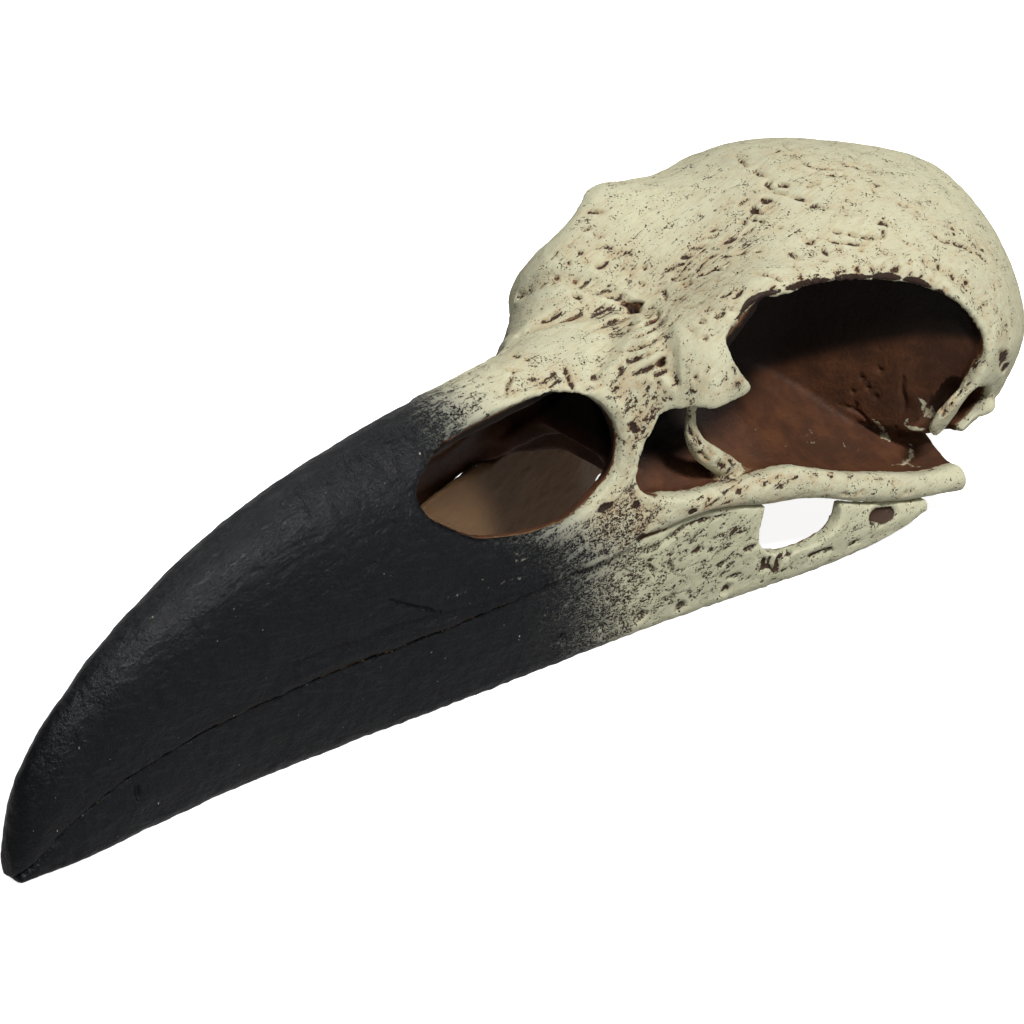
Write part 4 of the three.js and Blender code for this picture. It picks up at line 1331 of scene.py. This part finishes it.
# %% Dry brush
FLOAT, COLOUR, VECTOR = "NodeSocketFloat", "NodeSocketColor", "NodeSocketVector"
CATCHES = (0.34, 0.64)  # the heights between which the brush begins and ceases to catch
BRUSH_EDGE = (-0.09, 0.09)  # how softly a speck ends
FLECK_EDGE = (-0.004, 0.006)


def make_dry_brush():
    """Cover: where the cream lies. Specks: the height that it catches on."""
    tree, given, out = new_group(
        "dry_brush", {"Place": VECTOR, "Bare": FLOAT, "Ridge": FLOAT, "Fade": FLOAT},
        {"Cover": FLOAT, "Specks": FLOAT})
    place_in, bare, ridge, fade = given.outputs[:4]
    fine = cloud(tree, place_in, 4.6, 4, 0.68)
    middle = cloud(tree, place_in, 1.2, 4, 0.66)
    strokes = cloud(tree, stretched(tree, place_in, (3.2, 0.4, 0.6), (0, -14, 0)), 1.2, 4, 0.65)
    height = plus(tree, times(tree, fine, 0.28), times(tree, middle, 0.27))
    height = plus(tree, height, times(tree, strokes, 0.45))
    height = plus(tree, height, times(tree, minus(tree, ridge, 0.5), 0.3))
    specks = ramp(tree, height, *CATCHES)
    cover = ramp(tree, minus(tree, specks, bare), *BRUSH_EDGE)

    # worm-like flecks: the thin lines where a noise crosses its middle
    worms = off_middle(tree, cloud(tree, place_in, 1.9, 3, 0.6))
    along = stretched(tree, place_in, (3.0, 0.35, 0.35), (0, 8, 0))
    along = off_middle(tree, cloud(tree, along, 1.5, 3, 0.6))
    thin = calc(tree, "MINIMUM", worms, along)
    width = ramp(tree, fade, 1.0, 0.25, 0.0, 0.05)
    width = times(tree, width, ramp(tree, fine, 0.36, 0.6))
    flecks = ramp(tree, minus(tree, width, thin), *FLECK_EDGE)
    flecks = times(tree, flecks, ramp(tree, fade, 0.0, 0.1))
    tree.links.new(calc(tree, "MAXIMUM", cover, flecks), out.inputs["Cover"])
    tree.links.new(specks, out.inputs["Specks"])
    return tree


dry_brush = make_dry_brush()
print("group:", dry_brush.name)

# %% [markdown]
# The paints themselves: a brown wash that pools dark and thin, a chalky cream with greyer and
# warmer drifts, and the bill's blue-black.

# %% Paints
DARK_BROWN = (0.020, 0.011, 0.008, 1)
RED_BROWN = (0.098, 0.038, 0.017, 1)
# Painted shade: the nearly black brown under the roofs of the hollows.
ROOF_SHADE_COLOUR = (0.007, 0.0026, 0.0010, 1)
PALE_BROWN = (0.20, 0.115, 0.056, 1)
GROUND = (0.052, 0.028, 0.017, 1)  # the brown under the cream
CREAM = (0.74, 0.69, 0.44, 1)
GREY_CREAM = (0.52, 0.51, 0.36, 1)
TAN = (0.42, 0.29, 0.16, 1)
MOSS = (0.36, 0.36, 0.23, 1)  # the greener dirt of the jaw
BILL_BLACK = (0.0040, 0.0044, 0.0058, 1)
BILL_GREY = (0.012, 0.0135, 0.017, 1)
SILVER = (0.34, 0.34, 0.28, 1)  # the cream where it is brushed thin over the black


def make_brown_wash():
    tree, given, out = new_group("brown_wash", {"Place": VECTOR}, {"Colour": COLOUR})
    pools = ramp(tree, cloud(tree, given.outputs[0], 0.35, 5, 0.6), 0.35, 0.68, 0.45)
    tree.links.new(blend(tree, pools, DARK_BROWN, RED_BROWN), out.inputs[0])
    return tree


def make_chalky_cream():
    tree, given, out = new_group(
        "chalky_cream",
        {"Place": VECTOR, "Stain": FLOAT, "Ridge": FLOAT, "Worn": FLOAT, "Dirt": COLOUR},
        {"Colour": COLOUR})
    place_in, stain, ridge, worn, dirt_colour = given.outputs[:5]
    drift = ramp(tree, cloud(tree, place_in, 0.22, 4, 0.6), 0.42, 0.72)
    grain = ramp(tree, cloud(tree, place_in, 3.2, 3, 0.6), 0.3, 0.62)
    colour = blend(tree, times(tree, drift, 0.8), CREAM, GREY_CREAM)
    colour = blend(tree, times(tree, grain, 0.25), GREY_CREAM, colour)
    streaks = cloud(tree, stretched(tree, place_in, (2.4, 0.3, 0.6), (0, -14, 0)), 1.1, 4, 0.65)
    soft = ramp(tree, cloud(tree, place_in, 0.8, 4, 0.65), 0.35, 0.65)
    dirt = times(tree, ramp(tree, streaks, 0.48, 0.70), 0.3)
    dirt = plus(tree, dirt, times(tree, stain, times(tree, streaks, 0.9)))
    dirt = plus(tree, dirt, times(tree, times(tree, soft, worn), 1.1))
    on_ridge = times(tree, minus(tree, ridge, 0.5), 0.8)
    dirt = calc(tree, "SUBTRACT", dirt, on_ridge, clamp=True)
    tree.links.new(blend(tree, dirt, colour, dirt_colour), out.inputs[0])
    return tree


brown_wash = make_brown_wash()
chalky_cream = make_chalky_cream()
print("groups:", brown_wash.name, chalky_cream.name)

# %% [markdown]
# The coat puts the layers together. The cream is dry-brushed over all of it, but tiny nicks in
# clusters and the marks keep it off, and the pale streaks put it on.

# %% Where the cream lies
MARK_EDGE = (0.44, 0.56)
HOLLOW_EDGE = (0.35, 0.65)
NICKS = (0.90, 0.95)  # only the peaks of a fine cloud
TOUCHED = (0.42, 0.62, 0.0, 0.8)
THINNED = (0.2, 0.85, 1.0, 0.2)  # the cream's share from the start of the black to its depth


def cream_over(tree, place_in, brushed, cracked, black, streak, jitter):
    crowd = times(tree, cloud(tree, place_in, 0.7, 2, 0.5), 0.5)
    nicks = ramp(tree, plus(tree, cloud(tree, place_in, 5.0, 2, 0.55), crowd), *NICKS)
    cover = times(tree, brushed, without(tree, cracked))
    cover = times(tree, cover, without(tree, nicks))
    cover = times(tree, cover, ramp(tree, black, *THINNED))
    touched = ramp(tree, plus(tree, streak, times(tree, jitter, 0.7)), *TOUCHED)
    return calc(tree, "MAXIMUM", cover, touched)


print("cream ready")

# %% [markdown]
# Below the cream lies brown, paler on the jaw's inner faces and darkened by painted shade to nearly
# black under the roofs of the hollows, or the worn black of the bill.

# %% What lies below the cream
def below_cream(tree, place_in, hollow, inner, bill, scratches, cracked):
    worn_black = blend(tree, ramp(tree, scratches, 0.5, 0.8), BILL_BLACK, BILL_GREY)
    brown = use_group(tree, brown_wash, Place=place_in)[0]
    brown = blend(tree, ramp(tree, hollow, 0.75, 0.95), PALE_BROWN, brown)
    # Painted shade: a value above 1 darkens the brown to nearly black under the roofs.
    brown = blend(tree, ramp(tree, hollow, 1.0, 1.9), brown, ROOF_SHADE_COLOUR)
    base = blend(tree, bill, blend(tree, inner, GROUND, brown), worn_black)
    return blend(tree, times(tree, cracked, 0.6), base, DARK_BROWN)


def dust_on(tree, place_in, inner):
    """A few pale specks outside the hollows."""
    specks = ramp(tree, cloud(tree, place_in, 2.6, 1, 0.4), 0.80, 0.82)
    return times(tree, specks, without(tree, inner))


print("base ready")

# %% [markdown]
# The coat also gives the roughness, low on the satin black and high on the chalky cream, and the
# height of the fine relief: pebbles and brush scratches on the bill, and the paint's own edge.

# %% The whole coat
BROWN_GLOSS, BLACK_GLOSS = 0.56, 0.31  # the roughness of bare brown and of bare black


def gloss_of(tree, bill, cream_cover, jitter):
    gloss = plus(tree, times(tree, cream_cover, 0.3),
                 ramp(tree, bill, 0.0, 1.0, BROWN_GLOSS, BLACK_GLOSS))
    return plus(tree, gloss, times(tree, jitter, 0.2))


def relief_of(tree, place_in, bill, scratches, cream_cover, specks, cracked):
    pebbles = cloud(tree, place_in, 1.7, 3, 0.55)
    grain = cloud(tree, place_in, 4.5, 2, 0.5)
    height = plus(tree, times(tree, pebbles, 0.09), times(tree, scratches, 0.07))
    height = times(tree, plus(tree, height, times(tree, grain, 0.035)), bill)
    height = plus(tree, height, times(tree, cream_cover, 0.04))
    height = plus(tree, height, times(tree, specks, 0.05))
    return minus(tree, height, times(tree, cracked, 0.12))


def make_coat():
    tree, given, out = new_group(
        "painted_bone",
        {"Place": VECTOR, **{layer.capitalize(): FLOAT for layer in LAYERS}, "Dirt": COLOUR},
        {"Colour": COLOUR, "Roughness": FLOAT, "Height": FLOAT})
    place_in, hollow, black, mark, stain, streak, worn, ridge, dirt = given.outputs[:9]
    jitter = minus(tree, cloud(tree, place_in, 3.0, 3, 0.6), 0.5)
    cracked = ramp(tree, plus(tree, mark, times(tree, jitter, 0.4)), *MARK_EDGE)
    inner = ramp(tree, plus(tree, hollow, times(tree, jitter, 0.6)), *HOLLOW_EDGE)
    bare = plus(tree, plus(tree, worn, times(tree, black, 1.1)), inner)
    fade = times(tree, black, without(tree, inner))
    brush = use_group(tree, dry_brush, Place=place_in, Bare=bare, Ridge=ridge, Fade=fade)
    cream_cover = cream_over(tree, place_in, brush[0], cracked, black, streak, jitter)

    bill = times(tree, ramp(tree, black, 0.1, 0.6), without(tree, inner))
    scratches = cloud(tree, stretched(tree, place_in, (7, 0.4, 0.4), (0, 12, 0)), 1.2, 4, 0.6)
    base = below_cream(tree, place_in, hollow, inner, bill, scratches, cracked)
    cream = use_group(tree, chalky_cream, Place=place_in, Stain=stain, Ridge=ridge, Worn=worn,
                      Dirt=dirt)[0]
    cream = blend(tree, ramp(tree, black, 0.12, 0.7), cream, SILVER)
    shows = calc(tree, "MAXIMUM", cream_cover, dust_on(tree, place_in, inner))
    tree.links.new(blend(tree, shows, base, cream), out.inputs["Colour"])
    tree.links.new(gloss_of(tree, bill, cream_cover, jitter), out.inputs["Roughness"])
    relief = relief_of(tree, place_in, bill, scratches, cream_cover, brush[1], cracked)
    tree.links.new(relief, out.inputs["Height"])
    return tree


coat = make_coat()
print("group:", coat.name)

# %% [markdown]
# Both pieces get the same coat, each in a material of its own: the jaw's is a hair glossier and
# has greener dirt.

# %% The materials
def shader_of(material):
    return material.node_tree.nodes["Principled BSDF"]


def painted(name, specular, dirt):
    """The painted material of one piece."""
    material = bpy.data.materials.new(name)
    material.use_nodes = True
    tree = material.node_tree
    shader = shader_of(material)
    place_in = node(tree, "ShaderNodeTexCoord", "Object")
    place_in = node(tree, "ShaderNodeVectorMath", settings={"operation": "SCALE"}, _0=place_in,
                    Scale=1 / MM)
    layers = {layer.capitalize(): attribute(tree, layer) for layer in LAYERS}
    coated = use_group(tree, coat, Place=place_in, Dirt=dirt, **layers)
    tree.links.new(coated["Colour"], shader.inputs["Base Color"])
    tree.links.new(coated["Roughness"], shader.inputs["Roughness"])
    bump = node(tree, "ShaderNodeBump", Strength=1.0, Distance=MM, Height=coated["Height"])
    tree.links.new(bump, shader.inputs["Normal"])
    shader.inputs["Specular IOR Level"].default_value = specular
    return material


skull_coat = painted("skull_coat", 0.19, TAN)
jaw_coat = painted("jaw_coat", 0.21, MOSS)
print("materials:", skull_coat.name, jaw_coat.name)

# %% [markdown]
# A plain pale floor and soft studio light: a small lamp high on the near side, a weak soft one low
# before it, one overhead for the shine on the ridge, another behind, a dim room, and the light
# that a white table would throw back from below. The floor itself is kept from lighting the
# object, so that hollows stay dark.

# %% Floor and light
FLOOR_SIZE = 6
FLOOR_GLOW = 0.9
ROOM_LIGHT = 0.07
TABLE_LIGHT = 0.42
LAMPS = {
    # place in metres, size, power
    "key": ((0.0, -0.45, 0.66), 0.12, 6.2),
    "low": ((0.3, -0.83, 0.2), 0.5, 1.2),
    "overhead": ((-0.23, -0.26, 1.0), 0.18, 1.3),
    "behind": ((0.22, 0.6, 0.64), 0.6, 2.8),
}


def plain_material(name, colour, roughness):
    material = bpy.data.materials.new(name)
    material.use_nodes = True
    shader_of(material).inputs["Base Color"].default_value = (*colour, 1)
    shader_of(material).inputs["Roughness"].default_value = roughness
    return material


def make_floor():
    deselect_all()
    bpy.ops.mesh.primitive_plane_add(size=FLOOR_SIZE)
    floor = bpy.context.object
    floor.name = "floor"
    paper = plain_material("floor_paper", (0.9, 0.9, 0.9), 0.9)
    shader_of(paper).inputs["Emission Color"].default_value = (1, 1, 1, 1)
    shader_of(paper).inputs["Emission Strength"].default_value = FLOOR_GLOW
    floor.data.materials.append(paper)
    floor.visible_diffuse = False
    floor.visible_glossy = False
    return floor


def area_light(name, location, size, power):
    light = bpy.data.lights.new(name, "AREA")
    light.shape = "SQUARE"
    light.size = size
    light.energy = power
    lamp = bpy.data.objects.new(name, light)
    lamp.location = location
    lamp.rotation_euler = Vector(location).to_track_quat("Z", "Y").to_euler()
    bpy.context.scene.collection.objects.link(lamp)
    return lamp


def light_room():
    """Weak even light from all round, stronger from below."""
    world = bpy.data.worlds.new("studio")
    world.use_nodes = True
    tree = world.node_tree
    up = node(tree, "ShaderNodeSeparateXYZ", "Z", _0=node(tree, "ShaderNodeTexCoord", "Generated"))
    background = tree.nodes["Background"]
    background.inputs["Color"].default_value = (1, 1, 1, 1)
    tree.links.new(ramp(tree, up, -0.3, 0.0, TABLE_LIGHT, ROOM_LIGHT), background.inputs["Strength"])
    bpy.context.scene.world = world


make_floor()
for lamp_name, lamp_values in LAMPS.items():
    area_light(lamp_name, *lamp_values)
light_room()
bpy.context.scene.view_settings.view_transform = "Standard"
print("lamps:", *LAMPS)

# %% [markdown]
# Each piece gets its coat, moves with the object's one body, and stands for its solid.

# %% Finish
for piece, node_name, slot, finish in ((skull, "skull", "skull_paint", skull_coat),
                                       (jaw, "lower_jaw", "jaw_paint", jaw_coat)):
    piece.data.materials.clear()
    piece.data.materials.append(finish)
    piece.data.shade_smooth()
    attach(piece, "root")
    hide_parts(node_name)
bpy.data.objects.remove(shell)
